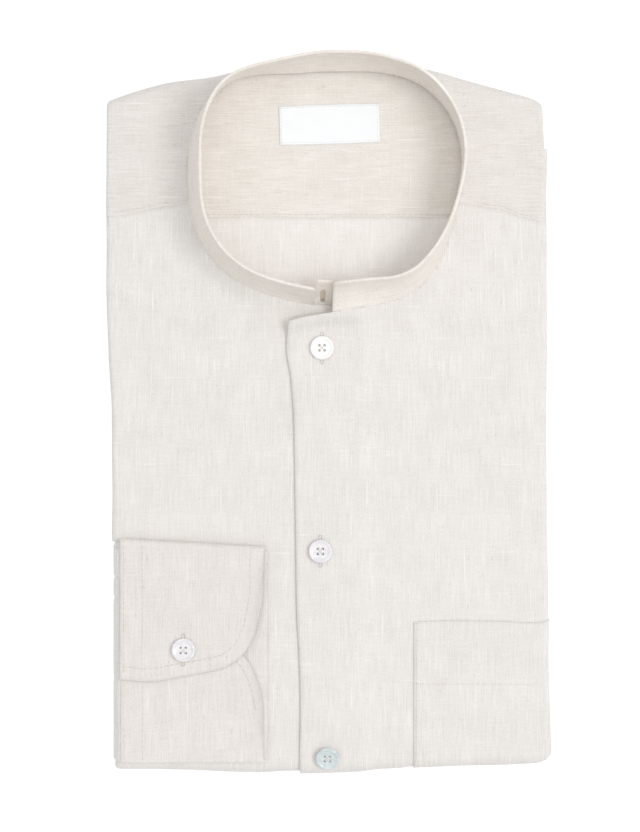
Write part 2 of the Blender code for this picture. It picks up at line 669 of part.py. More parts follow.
def make_button(row, mesh):
    """A button 0.3 mm off the cloth it is sewn to; the third tips over the bottom fold."""
    thing = bpy.data.objects.new(row.name, mesh)
    x, y = row.across, row.along
    tilt = 0.0
    if row.on == "placket":
        z = top_height(x, y) + LAYER + GAP
    elif row.on == "cuff":
        z = top_height(x, y) + CUFF_FLAP + CUFF_CLOTH / 2 + GAP
    elif row.on == "under":
        z, tilt = BUTTON_TROUGH - GAP, math.pi
    else:
        tilt = math.radians(18)
        start = read(BOTTOM_FOLD, x) + FOLD_REACH
        half = top_height(x, start) / 2
        long, tall = FOLD_REACH + LAYER, half + LAYER
        angle = math.atan(math.tan(tilt) * long / tall)
        touch_y, touch_z = start - long * math.sin(angle), half + tall * math.cos(angle)
        z = touch_z + (y - touch_y) * math.tan(tilt) + GAP / math.cos(tilt)
    thing.location = Vector((x, y, z)) * MM
    thing.rotation_euler = (tilt, 0.0, 0.0)
    bpy.context.collection.objects.link(thing)
    return thing


# ---- the whole shirt ------------------------------------------------------------------
def centre_on_floor(things):
    """Put the middle of the stack's box over the origin."""
    bpy.context.view_layer.update()
    corners = [thing.matrix_world @ vert.co for thing in things if not thing.hide_render
               for vert in thing.data.vertices]
    for axis in (0, 1):
        values = [corner[axis] for corner in corners]
        middle = (min(values) + max(values)) / 2
        for thing in things:
            thing.location[axis] -= middle


def main():
    for thing in list(bpy.data.objects):
        bpy.data.objects.remove(thing)
    linen = finish_material("linen", (0.83, 0.80, 0.77), 0.9)
    hidden = finish_material("linen_inside", (0.80, 0.76, 0.72), 0.9)
    white = finish_material("label_white", (0.93, 0.95, 0.97), 0.8)
    pearl = finish_material("pearl", (0.88, 0.87, 0.86), 0.25)

    left, right = make_left_front(linen), make_right_front(linen)
    yoke = make_outer_yoke(linen)
    hole_left = neck_cutter("neck_hole_left", LAP_TOP)
    hole_right = neck_cutter("neck_hole_right", [])
    cut_neck(left, hole_left)
    cut_neck(right, hole_right)
    cut_neck(yoke, hole_right)
    things = [left, right, yoke, hole_left, hole_right, make_pocket(linen), make_inner_yoke(linen),
              make_back(linen), make_label(white), make_collar(linen), make_cuff(linen),
              make_sleeve(linen), make_folded_layers(hidden)]
    mesh = button_mesh(pearl)
    things += [make_button(row, mesh) for row in BUTTONS]
    centre_on_floor(things)


main()
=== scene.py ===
# %% [markdown]
# # A folded mandarin collar shirt
# The shirt is linen: it is buttoned, folded for a shelf and laid on its back with the collar away.
# A folded garment is a pile of thin sheets, so every sheet here is a thin wall that follows one
# height function for the whole pile, each a layer above or below the next.

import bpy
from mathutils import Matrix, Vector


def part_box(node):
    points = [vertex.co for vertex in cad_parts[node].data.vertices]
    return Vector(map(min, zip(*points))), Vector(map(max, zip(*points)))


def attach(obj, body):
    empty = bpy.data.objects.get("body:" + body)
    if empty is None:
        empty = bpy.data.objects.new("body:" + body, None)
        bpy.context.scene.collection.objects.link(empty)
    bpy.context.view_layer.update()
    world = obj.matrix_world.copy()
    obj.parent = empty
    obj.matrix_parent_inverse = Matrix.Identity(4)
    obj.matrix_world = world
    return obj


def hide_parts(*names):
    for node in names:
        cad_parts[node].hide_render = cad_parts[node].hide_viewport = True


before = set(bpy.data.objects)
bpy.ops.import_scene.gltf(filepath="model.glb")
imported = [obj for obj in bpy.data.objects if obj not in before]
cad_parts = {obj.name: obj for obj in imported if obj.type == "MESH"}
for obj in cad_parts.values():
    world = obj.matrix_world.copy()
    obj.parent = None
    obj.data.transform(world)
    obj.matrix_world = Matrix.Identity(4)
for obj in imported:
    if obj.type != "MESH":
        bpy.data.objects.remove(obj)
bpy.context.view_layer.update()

import math
from collections import namedtuple

import bmesh
import bpy
import numpy as np
from mathutils import Matrix, Vector

MM = 0.001
print("frame holds", len(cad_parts), "nodes")

# %% [markdown]
# ## Sizes
# All sizes are millimetres in the shirt's own drawing, whose origin is near the middle of the
# pile. The first button's place ties the drawing to the frame, so nothing is fitted by eye.

# %% Driving sizes
CLOTH = 1.0                # wall of a single sheet with its fold-in
GAP = 0.3
LAYER = 1.5                # from one sheet's face to the next
STACK_HEIGHT = 17.0
DOME = 0.8
SHOULDER_HEIGHT = 11.0
FALL_FROM, FALL_TO = 70.0, 165.0
HALF_WIDTH = 110.0
FOLD_REACH, SHOULDER_REACH = 6.5, 5.0
HOOK_TOP, HOOK_UNDER, HOOK_SHOULDER, HOOK_REACH = 5.0, 4.4, 3.5, 10.0
TAIL_EDGE, YOKE_UNDER_EDGE, YOKE_SEAM = 132.0, 134.0, 96.5
UNDER_LEFT, UNDER_RIGHT = -106.5, 110.0
UNDERLAP_EDGE = 12.0
COLLAR_X, COLLAR_Y, COLLAR_HEIGHT, COLLAR_CLOTH = 2.0, 120.0, 30.0, 1.5
POCKET_EDGE, POCKET_TOP, POCKET_UNDER_END = 42.5, -105.0, -128.0
CUFF_SEAM, CUFF_BACK_HEM, CUFF_TOP_HEM, CUFF_CLOTH = -103.85, -31.0, -33.0, 1.4
CUFF_BACK, CUFF_LAP, CUFF_FLAP = 1.1, 3.4, 5.3     # middles of its layers above the front
BUTTON_RADIUS = 5.9
BUTTON_1 = (-3.5, 31.5)

low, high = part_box("button_1")
middle = (low + high) / 2 / MM
SHIFT = np.array([middle.x - BUTTON_1[0], middle.y - BUTTON_1[1], 0.0])
print("drawing moved by", SHIFT.round(2), "mm to meet the frame")

# %% [markdown]
# ## Outlines
# Each outline is a short table, a row for each place where the edge turns. A smooth curve runs
# through the rows without overshooting, as a cut edge of cloth does.

# %% Tables of the outlines
def table(kind, *rows):
    """Rows of a table, with named columns."""
    return [kind(*row) for row in rows]


Edge = namedtuple("Edge", "along side")            # side edge: Y, X
Turn = namedtuple("Turn", "across along")          # fold or seam: X, Y
Band = namedtuple("Band", "turn rim lean")         # collar: direction, rim radius, outward seat
LEFT_EDGE = table(Edge, (-180, -107.6), (-176, -107.0), (-172, -103.5), (-68.5, -103.5),
                  (-64.5, -108.5), (0, -109.0), (30, -110.5), (60, -111.5), (155, -111.5))
RIGHT_EDGE = table(Edge, (-180, 111.3), (-150, 110.2), (-120, 109.4), (-90, 109.6), (-60, 108.9),
                   (45, 109.2), (120, 108.4), (155, 107.6))
PLACKET_EDGE = table(Edge, (-173, -14.3), (-149, -14.0), (-124, -14.5), (-100, -15.8), (-27, -16.8),
                     (-4, -17.3), (16, -18.7), (32, -21.0), (48, -19.5))
BOTTOM_FOLD = table(Turn, (-110, -179.5), (-60, -180.8), (-25, -181.6), (15, -180.2), (50, -178.6),
                    (100, -177.2), (105, -176.8), (111, -174.2))
SHOULDER_EDGE = table(Turn, (-111.5, 156), (-100.5, 160), (-90.5, 163), (-80.5, 165.5),
                      (-60.5, 168), (-50.5, 169.5), (-25, 174.5), (0, 176), (25, 175), (49.5, 172),
                      (69.5, 166.5), (89.5, 161), (103, 157), (108.5, 153.5))
FRONT_SEAM = table(Turn, (-112, 97.0), (-101.5, 98.5), (-80, 102.5), (-60, 104), (60, 104),
                   (73, 102.5), (86.5, 100.5), (97, 96.5), (107, 94.5))
LAP_TOP = table(Turn, (0.5, 49), (-13.5, 46.7), (-19.5, 45), (-26, 44))
CUFF_TOP = table(Turn, (-104, -63.5), (-33, -67.5))
CUFF_BOTTOM = table(Turn, (-104, -176.0), (-31, -175.4))
FLAP_END = table(Turn, (-104, -133.5), (-89.5, -134.5), (-74.5, -132), (-53.5, -128), (-43, -121),
                 (-37, -110), (-33, -91.5))
LAP_END = table(Turn, (-104, -112), (-52, -114), (-43, -122), (-38.5, -128.5), (-35, -137.5),
                (-33, -146.5))
COLLAR = table(Band, (-90, 57.6, 14.9), (-76, 57.6, 13.6), (-63, 61.8, 12.0), (-55, 65.0, 9.0),
               (-44, 65.0, 6.5), (-32, 64.0, 3.8), (-15, 63.6, 1.2), (5, 66.2, 0.0),
               (24, 67.8, -1.0), (44, 66.8, -3.0), (57, 63.0, -4.0), (71, 60.0, -5.5),
               (87, 57.5, -6.0), (109, 58.3, -5.0), (128, 63.8, -1.0), (142, 70.0, 2.0),
               (158, 69.0, 5.0), (180, 66.0, 7.5), (206, 68.8, 7.5), (226, 67.2, 7.5),
               (245, 62.7, 7.5), (261.5, 61.0, 7.3))


def read(rows, at, column=1):
    """Smooth value of a table's column, with no overshoot between its rows."""
    values = np.array(sorted(rows), float)
    place, value = values[:, 0], values[:, column]
    step = np.diff(place)
    slope = np.diff(value) / step
    tangent = np.zeros_like(value)
    product = slope[1:] * slope[:-1]
    np.divide(2 * product, slope[1:] + slope[:-1], out=tangent[1:-1], where=product > 0)
    tangent[0], tangent[-1] = slope[0], slope[-1]
    at = np.clip(at, place[0], place[-1])
    i = np.clip(np.searchsorted(place, at) - 1, 0, len(step) - 1)
    t = (at - place[i]) / step[i]
    stay = (1 + 2 * t) * (1 - t) ** 2 * value[i] + t * t * (3 - 2 * t) * value[i + 1]
    return stay + step[i] * (t * (1 - t) ** 2 * tangent[i] + t * t * (t - 1) * tangent[i + 1])


def ease(share):
    """0 to 1 with level ends."""
    share = np.clip(share, 0.0, 1.0)
    return share * share * (3.0 - 2.0 * share)


def mix(first, second, share):
    return first + (second - first) * share


print("outline tables hold", sum(map(len, (LEFT_EDGE, RIGHT_EDGE, SHOULDER_EDGE, COLLAR))), "rows")

# %% [markdown]
# ## The pile's height
# Pressed linen is never quite flat. A few creases are listed one by one, each a soft trough or ridge
# along a short line, and a slow lattice noise gives the rest. Every sheet reads the same height,
# so the sheets ripple together and never cut through each other.

# %% Creases and height
CREASE_FADE = 0.5          # how much weaker a crease gets towards its end
FLOOR_RIPPLE, RIPPLE_FROM, RIPPLE_TO = 0.3, -165.0, 125.0
YOKE_LIFT, YOKE_SINKS = 6.0, 152.0
Crease = namedtuple("Crease", "x0 y0 x1 y1 width height")
CREASES = table(Crease, (-112, 56, -72, 39, 4.5, -1.35), (-72, 39, -58, 32, 4.0, -0.68),
                (-112, 61, -80, 49, 4.5, 0.75), (-108, -14, -99, -28, 2.5, -0.75),
                (-86, 116, -71, 106, 3.0, -0.75), (-92, 127, -76, 116, 4.0, 0.6),
                (78, 134, 107, 118, 4.0, 1.05), (84, 124, 106, 110, 4.0, -0.75),
                (72, 113, 84, 101, 2.2, 0.75), (66, 116, 76, 104, 2.0, -0.45),
                (16.5, 24, 16.5, -46, 0.9, 0.27), (24, 20, 30, -60, 9.0, -0.38),
                (60, 60, 92, 20, 12.0, 0.52), (70, -30, 104, -70, 10.0, -0.52),
                (-60, 20, -30, -40, 12.0, 0.45), (-95, 90, -60, 70, 9.0, 0.52),
                (48, -60, 64, -100, 8.0, 0.45), (20, -100, 36, -160, 9.0, -0.45),
                (-28, -150, -20, -172, 5.0, -0.45), (86, 88, 104, 70, 5.0, -0.52),
                (96, 40, 109, 26, 4.0, -0.45), (-26, 30, -40, 8, 6.0, -0.45),
                (-70, 128, -96, 146, 5.0, 0.52), (60, 146, 84, 152, 5.0, -0.45))
# size and strength of the slow unevenness, and a number that sets its pattern
Swell = namedtuple("Swell", "size height pattern")
SWELLS = table(Swell, (46.0, 0.34, 1), (19.0, 0.15, 2), (8.0, 0.05, 3))


def lattice(x, y, size, pattern):
    """Smooth noise from -1 to 1, the same on every run."""
    u, v = np.asarray(x) / size, np.asarray(y) / size
    i, j = np.floor(u), np.floor(v)
    a, b = ease(u - i), ease(v - j)

    def corner(p, q):
        wave = np.sin(p * 127.1 + q * 311.7 + pattern * 74.7) * 43758.5453
        return wave - np.floor(wave)

    row = mix(corner(i, j), corner(i + 1, j), a)
    above = mix(corner(i, j + 1), corner(i + 1, j + 1), a)
    return 2.0 * mix(row, above, b) - 1.0


def same_shape(x, y):
    return np.broadcast_arrays(np.asarray(x, float), np.asarray(y, float))


def relief(x, y):
    """Creases and unevenness of the pile's top."""
    x, y = same_shape(x, y)
    total = sum(row.height * lattice(x, y, row.size, row.pattern) for row in SWELLS)
    for row in CREASES:
        run = np.array([row.x1 - row.x0, row.y1 - row.y0])
        share = np.clip(((x - row.x0) * run[0] + (y - row.y0) * run[1]) / (run @ run), 0, 1)
        away = np.hypot(x - row.x0 - share * run[0], y - row.y0 - share * run[1])
        total = total + row.height * (1 - CREASE_FADE * share) * np.exp(-(away / row.width) ** 2)
    return total


def top_height(x, y):
    """Height of the single fronts' upper face over a place."""
    dome = DOME * np.maximum(1.0 - (x / HALF_WIDTH) ** 2, 0.0) ** 2
    fall = ease((y - FALL_FROM) / (FALL_TO - FALL_FROM))
    return STACK_HEIGHT + dome - (STACK_HEIGHT - SHOULDER_HEIGHT + dome) * fall + relief(x, y)


def floor_relief(x, y):
    """How far the underside's sheets ripple up from the floor, except near its two ends."""
    away = ease((y - RIPPLE_FROM) / 25.0) * ease((RIPPLE_TO - y) / 20.0)
    return away * FLOOR_RIPPLE * (1.0 + lattice(x, y, 34.0, 9))


def under_height(y):
    """Height of the yoke's lower face, which sinks to the floor at the shoulder fold."""
    return YOKE_LIFT * ease((YOKE_SINKS - y) / 24.0)


print("height at the middle", round(float(top_height(0.0, 0.0)), 2), "mm")

# %% [markdown]
# ## Wrapping a sheet round the pile
# A front runs down the top of the pile, round the bottom fold and back along the underside. The
# outer yoke goes the other way, over the shoulder fold. A row of a sheet's grid is a *station*:
# which part of its way it is on, and how far along that part.

# %% Wraps
WAVE_FOLD, WAVE_SIDE = 0.25, 0.3   # how wavy a pressed fold is
HOOK_STEPS, HOOK_RUN = 15, 6       # points round a side fold, and on its turned-in edge
UNDER_TURN = 0.12                  # share of the underside over which a side edge comes straight
Way = namedtuple("Way", "side reach start floor far")
BOTTOM_WAY = Way(-1, FOLD_REACH,
                 lambda x: read(BOTTOM_FOLD, x) + WAVE_FOLD * lattice(x, 0.0, 17.0, 5) + FOLD_REACH,
                 floor_relief, TAIL_EDGE)
SHOULDER_WAY = Way(1, SHOULDER_REACH, lambda x: read(SHOULDER_EDGE, x) - SHOULDER_REACH,
                   lambda x, y: under_height(y), YOKE_UNDER_EDGE)


def wrap(way, x, station, depth):
    """(y, z) on a way round the pile, depth below its outer face."""
    part, share = station
    start = way.start(x)
    if part == "top":
        y = mix(read(FRONT_SEAM, x) + way.side * GAP / 2, start, share)
        return y, top_height(x, y) - depth
    if part == "under":
        y = mix(start, way.far, share)
        return y, way.floor(x, y) + depth
    lowest = way.floor(x, start)
    half = (top_height(x, start) - lowest) / 2
    angle = math.pi * share
    rise = half + (half - depth) * np.cos(angle)
    return start + way.side * (way.reach - depth) * np.sin(angle), lowest + rise


def turned(station):
    """0 on the top of the pile, 1 on its underside."""
    part, share = station
    return {"top": 0.0, "fold": float(ease(share)), "under": 1.0}[part]


def side_line(rows, under_edge, way, station, near):
    """X of the side edge at a station, a little wavy as a pressed fold is."""
    y = wrap(way, near, station, 0.0)[0]
    part, share = station
    edge = mix(read(rows, y), under_edge, ease(share / UNDER_TURN) if part == "under" else 0.0)
    return float(edge + WAVE_SIDE * lattice(y, 0.0, 21.0, 6 if near > 0 else 7))


def hooked_row(first, edge, side, hook, offset, columns):
    """(x, depth) across a sheet and round its side fold, moved out by offset."""
    radius = hook / 2
    centre = edge - side * radius
    angle = np.linspace(0.0, math.pi, HOOK_STEPS)[1:]
    x = [mix(first, centre, np.linspace(0, 1, columns)),
         centre + side * (radius + offset) * np.sin(angle),
         np.linspace(centre, edge - side * HOOK_REACH, HOOK_RUN)[1:]]
    depth = [np.full(columns, -offset), radius - (radius + offset) * np.cos(angle),
             np.full(HOOK_RUN - 1, hook + offset)]
    return np.concatenate(x), np.concatenate(depth)


def stations(top, fold, under):
    """Rows of a wrap: even steps down the top, round the fold and along the underside."""
    rows = [("top", k / top) for k in range(top)]
    rows += [("fold", k / fold) for k in range(fold)]
    return rows + [("under", k / under) for k in range(under + 1)]


print("a front has", len(stations(140, 18, 100)), "rows")

# %% [markdown]
# ## From points to cloth
# Two grids of points, the outer and the inner face, make a closed wall. Its free edges get one
# more row pushed outwards, so that they are round like a turned hem. The UV map is the flat cloth
# in metres, with V along the warp, so the weave can follow each piece as it was cut.

# %% Wall maker
ROUND_EDGE = 0.35          # how far a free edge bulges, as a share of the wall


def path_lengths(line):
    """Length along a line of points, from its start."""
    return np.concatenate([[0.0], np.cumsum(np.linalg.norm(np.diff(line, axis=0), axis=1))])


def straight_grain(centre):
    """(U, V) of a sheet whose threads run along X and Y wherever it lies flat."""
    across = np.linalg.norm(np.diff(centre, axis=1), axis=2)
    along = np.linalg.norm(np.diff(centre, axis=0), axis=2)
    u = np.pad(np.cumsum(across, axis=1), ((0, 0), (1, 0)))
    v = np.pad(np.cumsum(along, axis=0), ((1, 0), (0, 0)))
    u += np.sign(centre[0, -1, 0] - centre[0, 0, 0]) * centre[:, :1, 0]
    v += np.sign(centre[3, 0, 1] - centre[0, 0, 1]) * centre[:1, :, 1]
    return u, v


def quads(a, b, c, d):
    """Faces whose corners come from four grids of point numbers."""
    return np.stack([a, b, c, d], -1).reshape(-1, 4)


def tube(number):
    """Faces round a pile of rings of point numbers."""
    follow = np.roll(number, -1, axis=1)
    return quads(number[:-1], follow[:-1], follow[1:], number[1:])


def flat_map(u, v):
    return np.stack([u.ravel(), v.ravel()], -1)


def new_object(name, data):
    thing = bpy.data.objects.new(name, data)
    bpy.context.collection.objects.link(thing)
    return thing


def xyz(x, y, z):
    """Points from their three coordinates."""
    return np.stack([x, y, z], -1)


def tell(label, *things):
    print(label, *(len(thing.data.polygons) for thing in things), "faces")


def make_mesh(name, points, faces, uv, turn_weave=False):
    """Named object in metres with outward faces and a UV map called Cloth."""
    points = (np.asarray(points) + SHIFT) * MM
    faces = np.asarray(faces)
    a, b, c, d = (points[faces[:, k]] for k in range(4))
    volume = np.einsum("ij,ij->", a, np.cross(b, c)) + np.einsum("ij,ij->", a, np.cross(c, d))
    if volume < 0:
        faces = faces[:, ::-1]
    mesh = bpy.data.meshes.new(name)
    mesh.from_pydata(points.tolist(), [], faces.tolist())
    corner = np.empty(len(mesh.loops), np.int32)
    mesh.loops.foreach_get("vertex_index", corner)
    cloth = np.asarray(uv)[corner] * MM
    if turn_weave:
        cloth = cloth[:, ::-1]
    cloth = np.ascontiguousarray(cloth, np.float32).ravel()
    mesh.uv_layers.new(name="Cloth").data.foreach_set("uv", cloth)
    mesh.shade_smooth()
    return new_object(name, mesh)


def wall(name, outer, inner, turn_weave=False, curved=False):
    """Closed wall between two grids of points; a curved one is a band with its own grain."""
    rows, columns = outer.shape[:2]
    count = rows * columns
    number = np.arange(count).reshape(rows, columns)
    face = quads(number[:-1, :-1], number[1:, :-1], number[1:, 1:], number[:-1, 1:])
    rim = np.concatenate([number[0, :-1], number[:-1, -1], number[-1, :0:-1], number[:0:-1, 0]])
    inside = np.pad(number[1:-1, 1:-1], 1, mode="edge").ravel()[rim]
    flat_outer, flat_inner = outer.reshape(-1, 3), inner.reshape(-1, 3)
    centre = (flat_outer + flat_inner) / 2
    away = centre[rim] - centre[inside]
    away /= np.linalg.norm(away, axis=1)[:, None]
    thick = np.linalg.norm(flat_outer[rim] - flat_inner[rim], axis=1)[:, None]
    edge = centre[rim] + away * thick * ROUND_EDGE
    bead = 2 * count + np.arange(len(rim))
    next_rim, next_bead = np.roll(rim, -1), np.roll(bead, -1)
    faces = np.concatenate([face, face[:, ::-1] + count, quads(rim, next_rim, next_bead, bead),
                            quads(bead, next_bead, next_rim + count, rim + count)])
    centre = centre.reshape(rows, columns, 3)
    if curved:
        u, v = np.meshgrid(path_lengths(centre[rows // 2]), path_lengths(centre[:, columns // 2]))
    else:
        u, v = straight_grain(centre)
    uv = flat_map(u, v)
    return make_mesh(name, np.concatenate([flat_outer, flat_inner, edge]), faces,
                     np.concatenate([uv, uv, uv[rim]]), turn_weave)


def cloth_wall(name, points_at, faces_at=(0.0, -CLOTH), **how):
    """Wall between the two faces that points_at(offset) gives."""
    return wall(name, *(points_at(offset) for offset in faces_at), **how)


def as_plain_mesh(thing):
    """Bake an object's modifiers into its mesh."""
    bpy.context.view_layer.update()
    seen = thing.evaluated_get(bpy.context.evaluated_depsgraph_get())
    mesh = bpy.data.meshes.new_from_object(seen)
    thing.modifiers.clear()
    thing.data = mesh
    return thing


print("wall maker ready; a free edge bulges", ROUND_EDGE * CLOTH, "mm")

# %% [markdown]
# ## The neck seam's rise
# The collar's stiff foot holds the cloth up where it is sewn on, so the panels climb a little
# towards the seam. The lap's top corner curls up more, because the collar's end lets go of it.

# %% The neck seam's rise
SEAM_RISE, SEAM_WIDTH = 2.3, 4.2
LAP_EASE_FROM, LAP_EASE_TO = 14.0, 26.0
CURL_HEIGHT, CURL_CREST, CURL_WIDTH, CURL_END, CURL_EASE = 5.4, 0.4, 4.6, 24.0, 14.0
FLARE = 2.3                # the band stands up from a foot that spreads outwards
BAND_SPREAD = (-7.0, -3.5, 0.0, 3.5, 7.0)
RIGHT_FADE = -14.0, 10.0   # where the right front slips flat under the lap, and over how far


def band(turn, column=1):
    """The collar table, averaged over a few directions so that the band has no kinks."""
    return sum(read(COLLAR, turn + shift, column) for shift in BAND_SPREAD) / len(BAND_SPREAD)


def round_neck(turn, radius):
    """(x, y) at a distance from the neck's middle, in a direction."""
    angle = np.radians(turn)
    return COLLAR_X + radius * np.cos(angle), COLLAR_Y + radius * np.sin(angle)


def collar_seam(turn, outside=0.0):
    """(x, y) of the neck seam in a direction, moved outwards."""
    return round_neck(turn, band(turn) + band(turn, 2) + outside)


def seam_rise(x, y):
    """How far the panels climb where they meet the collar's foot."""
    away_x, away_y = np.asarray(x, float) - COLLAR_X, y - COLLAR_Y
    turn = np.degrees(np.arctan2(away_y, away_x))
    turn = np.where(turn < COLLAR[0].turn, turn + 360.0, turn)
    outside = np.hypot(away_x, away_y) - band(turn) - band(turn, 2)
    return SEAM_RISE * np.exp(-(np.maximum(outside, 0.0) / SEAM_WIDTH) ** 2)


def lap_curl(x, y):
    """The lap's top corner lifts a little off the sheet below."""
    below = np.clip(read(LAP_TOP, x) - y, 0.0, 40.0)
    ridge = CURL_HEIGHT * np.exp(-((below - CURL_CREST) / CURL_WIDTH) ** 2)
    return ridge * ease((CURL_END - x) / CURL_EASE)


def lap_step(x):
    """1 where the left front lies over the right one."""
    return ease((LAP_EASE_TO - x) / (LAP_EASE_TO - LAP_EASE_FROM))


def right_fade(x):
    """1 where the right front is free to climb, 0 under the lap."""
    return ease((RIGHT_FADE[0] - x) / RIGHT_FADE[1])


def foot_rise(turn, x, y):
    """How far the upper face stands above the single fronts' where the collar is sewn on."""
    left = LAYER * lap_step(x) + np.maximum(lap_curl(x, y), SEAM_RISE)
    return np.where(turn < 20.0, left, np.where(turn < 180.0, SEAM_RISE, SEAM_RISE * right_fade(x)))


print("seam rises", SEAM_RISE, "mm at the neck")

# %% [markdown]
# ## The two fronts
# The wearer's left front laps over the right one at the placket, a sheet higher, and eases down
# to a single sheet beside it. Underneath, both stand up from the floor a little at the placket,
# to leave room for the buttons there.

# %% Fronts
UNDER_EASE_FROM, UNDER_EASE_TO = -23.0, -35.0
BUTTON_TROUGH, TROUGH_X, TROUGH_HALF, TROUGH_SLOPE = 2.6, -3.0, 9.0, 7.0
TROUGH_FROM, TROUGH_TO = -160.0, -135.0
POCKET_LAYER, POCKET_MARGIN, POCKET_EASE = 1.3, 8.0, 7.0
FRONT_ROWS = stations(140, 18, 100)
FRONT_COLUMNS = 64
SIDE_AT = 105.0            # where a side edge is read from


def placket_trough(x, y):
    """How far the lower half's placket stands up from the floor, for the buttons under it."""
    across = ease((TROUGH_HALF + TROUGH_SLOPE - abs(x - TROUGH_X)) / TROUGH_SLOPE)
    return BUTTON_TROUGH * across * np.clip((y - TROUGH_FROM) / (TROUGH_TO - TROUGH_FROM), 0.0, 1.0)


def pocket_zone(x, y):
    """1 under the pocket's lower half, 0 away from it."""
    across = ease((x - POCKET_EDGE + POCKET_MARGIN) / POCKET_EASE)
    return across * ease((POCKET_UNDER_END + POCKET_MARGIN - y) / POCKET_EASE)


def left_depth(x, y, under):
    """(depth below the single fronts, rise at the neck) of the left front."""
    depth = -LAYER * (1.0 - under) * lap_step(x) + POCKET_LAYER * under * pocket_zone(x, y)
    return depth, np.maximum(lap_curl(x, y), seam_rise(x, y))


def right_depth(x, y, under):
    """The same of the right front, which lies above the left one underneath."""
    lap = ease((x - UNDER_EASE_TO) / (UNDER_EASE_FROM - UNDER_EASE_TO))
    return LAYER * under * lap, seam_rise(x, y) * right_fade(x)


def front_grid(rows, columns, first, side_rows, under_edge, side, depth_at, offset):
    """Points of a front, or of what lies on it, moved out by offset from its outer face."""
    grid = []
    for station in rows:
        under = turned(station)
        edge = side_line(side_rows, under_edge, BOTTOM_WAY, station, side * SIDE_AT)
        x, depth = hooked_row(first(station), edge, side, mix(HOOK_TOP, HOOK_UNDER, under),
                              offset, columns)
        flat_y = wrap(BOTTOM_WAY, x, station, 0.0)[0]
        lift, rise = depth_at(x, flat_y, under)
        if station[0] == "top":
            lift = lift - rise
        if station[0] == "under":
            lift = lift + placket_trough(x, flat_y)
        y, z = wrap(BOTTOM_WAY, x, station, depth + lift)
        grid.append(xyz(x, y, z))
    return np.array(grid)


def placket_x(station):
    """The lap's edge, which runs straight on underneath."""
    lowest = PLACKET_EDGE[0].side
    if station[0] == "under":
        return lowest
    return float(read(PLACKET_EDGE, wrap(BOTTOM_WAY, lowest, station, 0.0)[0]))


def left_points(offset, rows, columns, first):
    return front_grid(rows, columns, first, RIGHT_EDGE, UNDER_RIGHT, 1, left_depth, offset)


def right_points(offset):
    return front_grid(FRONT_ROWS, FRONT_COLUMNS, lambda station: UNDERLAP_EDGE, LEFT_EDGE,
                      UNDER_LEFT, -1, right_depth, offset)


front_left = cloth_wall("shirt_front_left", lambda offset: left_points(
    offset, FRONT_ROWS, FRONT_COLUMNS, placket_x))
front_right = cloth_wall("shirt_front_right", right_points)
tell("fronts:", front_left, front_right)

# %% [markdown]
# ## The yokes and the back
# The outer yoke goes over both shoulders, so it is one sheet folded over the pile's far end. The
# inner yoke and the back are what shows inside the neck. Each is a little below the one it meets.

# %% Yokes and back
YOKE_ROWS, YOKE_COLUMNS = stations(44, 14, 8), 48
YOKE_SIDES = -105.0, 103.0         # where the yoke's side edges are read from
HOOK_FLATTENS = 95.0, 50.0         # from where, and over how far, its side fold gets flatter
PANEL_RIGHT = 95.0
INNER_YOKE_LEFT, BACK_LEFT, BACK_LOW = -100.5, -92.5, -165.0


def yoke_grid(offset):
    grid = []
    for station in YOKE_ROWS:
        under = turned(station)
        flatter = (wrap(SHOULDER_WAY, 0.0, station, 0.0)[0] - HOOK_FLATTENS[0]) / HOOK_FLATTENS[1]
        hook = mix(HOOK_TOP, HOOK_SHOULDER, max(float(ease(flatter)), under))
        halves = []
        for rows, near in zip((LEFT_EDGE, RIGHT_EDGE), YOKE_SIDES):
            edge = side_line(rows, rows[-1].side, SHOULDER_WAY, station, near)
            halves.append(hooked_row(0.0, edge, 1 if near > 0 else -1, hook, offset,
                                     YOKE_COLUMNS))
        x, depth = (np.concatenate([left[::-1], right[1:]]) for left, right in zip(*halves))
        if station[0] != "under":
            flat_y = wrap(SHOULDER_WAY, x, station, 0.0)[0]
            depth = depth - seam_rise(x, flat_y) * (1.0 - under)
        y, z = wrap(SHOULDER_WAY, x, station, depth)
        grid.append(xyz(x, y, z))
    return np.array(grid)


def yoke_far_line(x):
    """The inner yoke's far edge: under the shoulder fold, and out to the collar's foot."""
    foot_x, foot_y = collar_seam(np.linspace(165.0, 15.0, 120), 0.2)
    return np.maximum(read(SHOULDER_EDGE, x) - SHOULDER_REACH + 0.6, np.interp(x, foot_x, foot_y))


def flat_panel(name, x_from, low_line, high_line, size, depth, **how):
    """Panel lying inside the pile between two lines across it."""
    x, share = np.meshgrid(np.linspace(x_from, PANEL_RIGHT, size[0]), np.linspace(0, 1, size[1]))
    y = mix(low_line(x), high_line(x), share)
    top = top_height(x, y)
    return cloth_wall(name, lambda offset: xyz(x, y, top - depth + offset), **how)


yoke_outer = cloth_wall("shirt_yoke_outer", yoke_grid, turn_weave=True)
yoke_inner = flat_panel("shirt_yoke_inner", INNER_YOKE_LEFT, lambda x: YOKE_SEAM + GAP / 2 + 0 * x,
                        yoke_far_line, (150, 50), LAYER, turn_weave=True)
back_panel = flat_panel("shirt_back", BACK_LEFT, lambda x: BACK_LOW + 0 * x,
                        lambda x: YOKE_SEAM - GAP / 2 + 0 * x, (90, 110), LAYER)
tell("yoke:", yoke_outer)

# %% [markdown]
# ## The neck hole
# The hole is cut with a Boolean, as the cutter's shears would: one prism with the neck seam's
# outline goes through the fronts and the outer yoke, so that they close on the collar's foot.

# %% Cut the neck
SEAM_OVERLAP = 0.3         # how far the panels reach into the collar's foot, as at a sewn seam
HOLE_FROM, HOLE_LAP, HOLE_TO = -87.0, 248.0, 268.0     # directions the hole's outline spans
CUTTER_LOW, CUTTER_HIGH = 7.0, 60.0


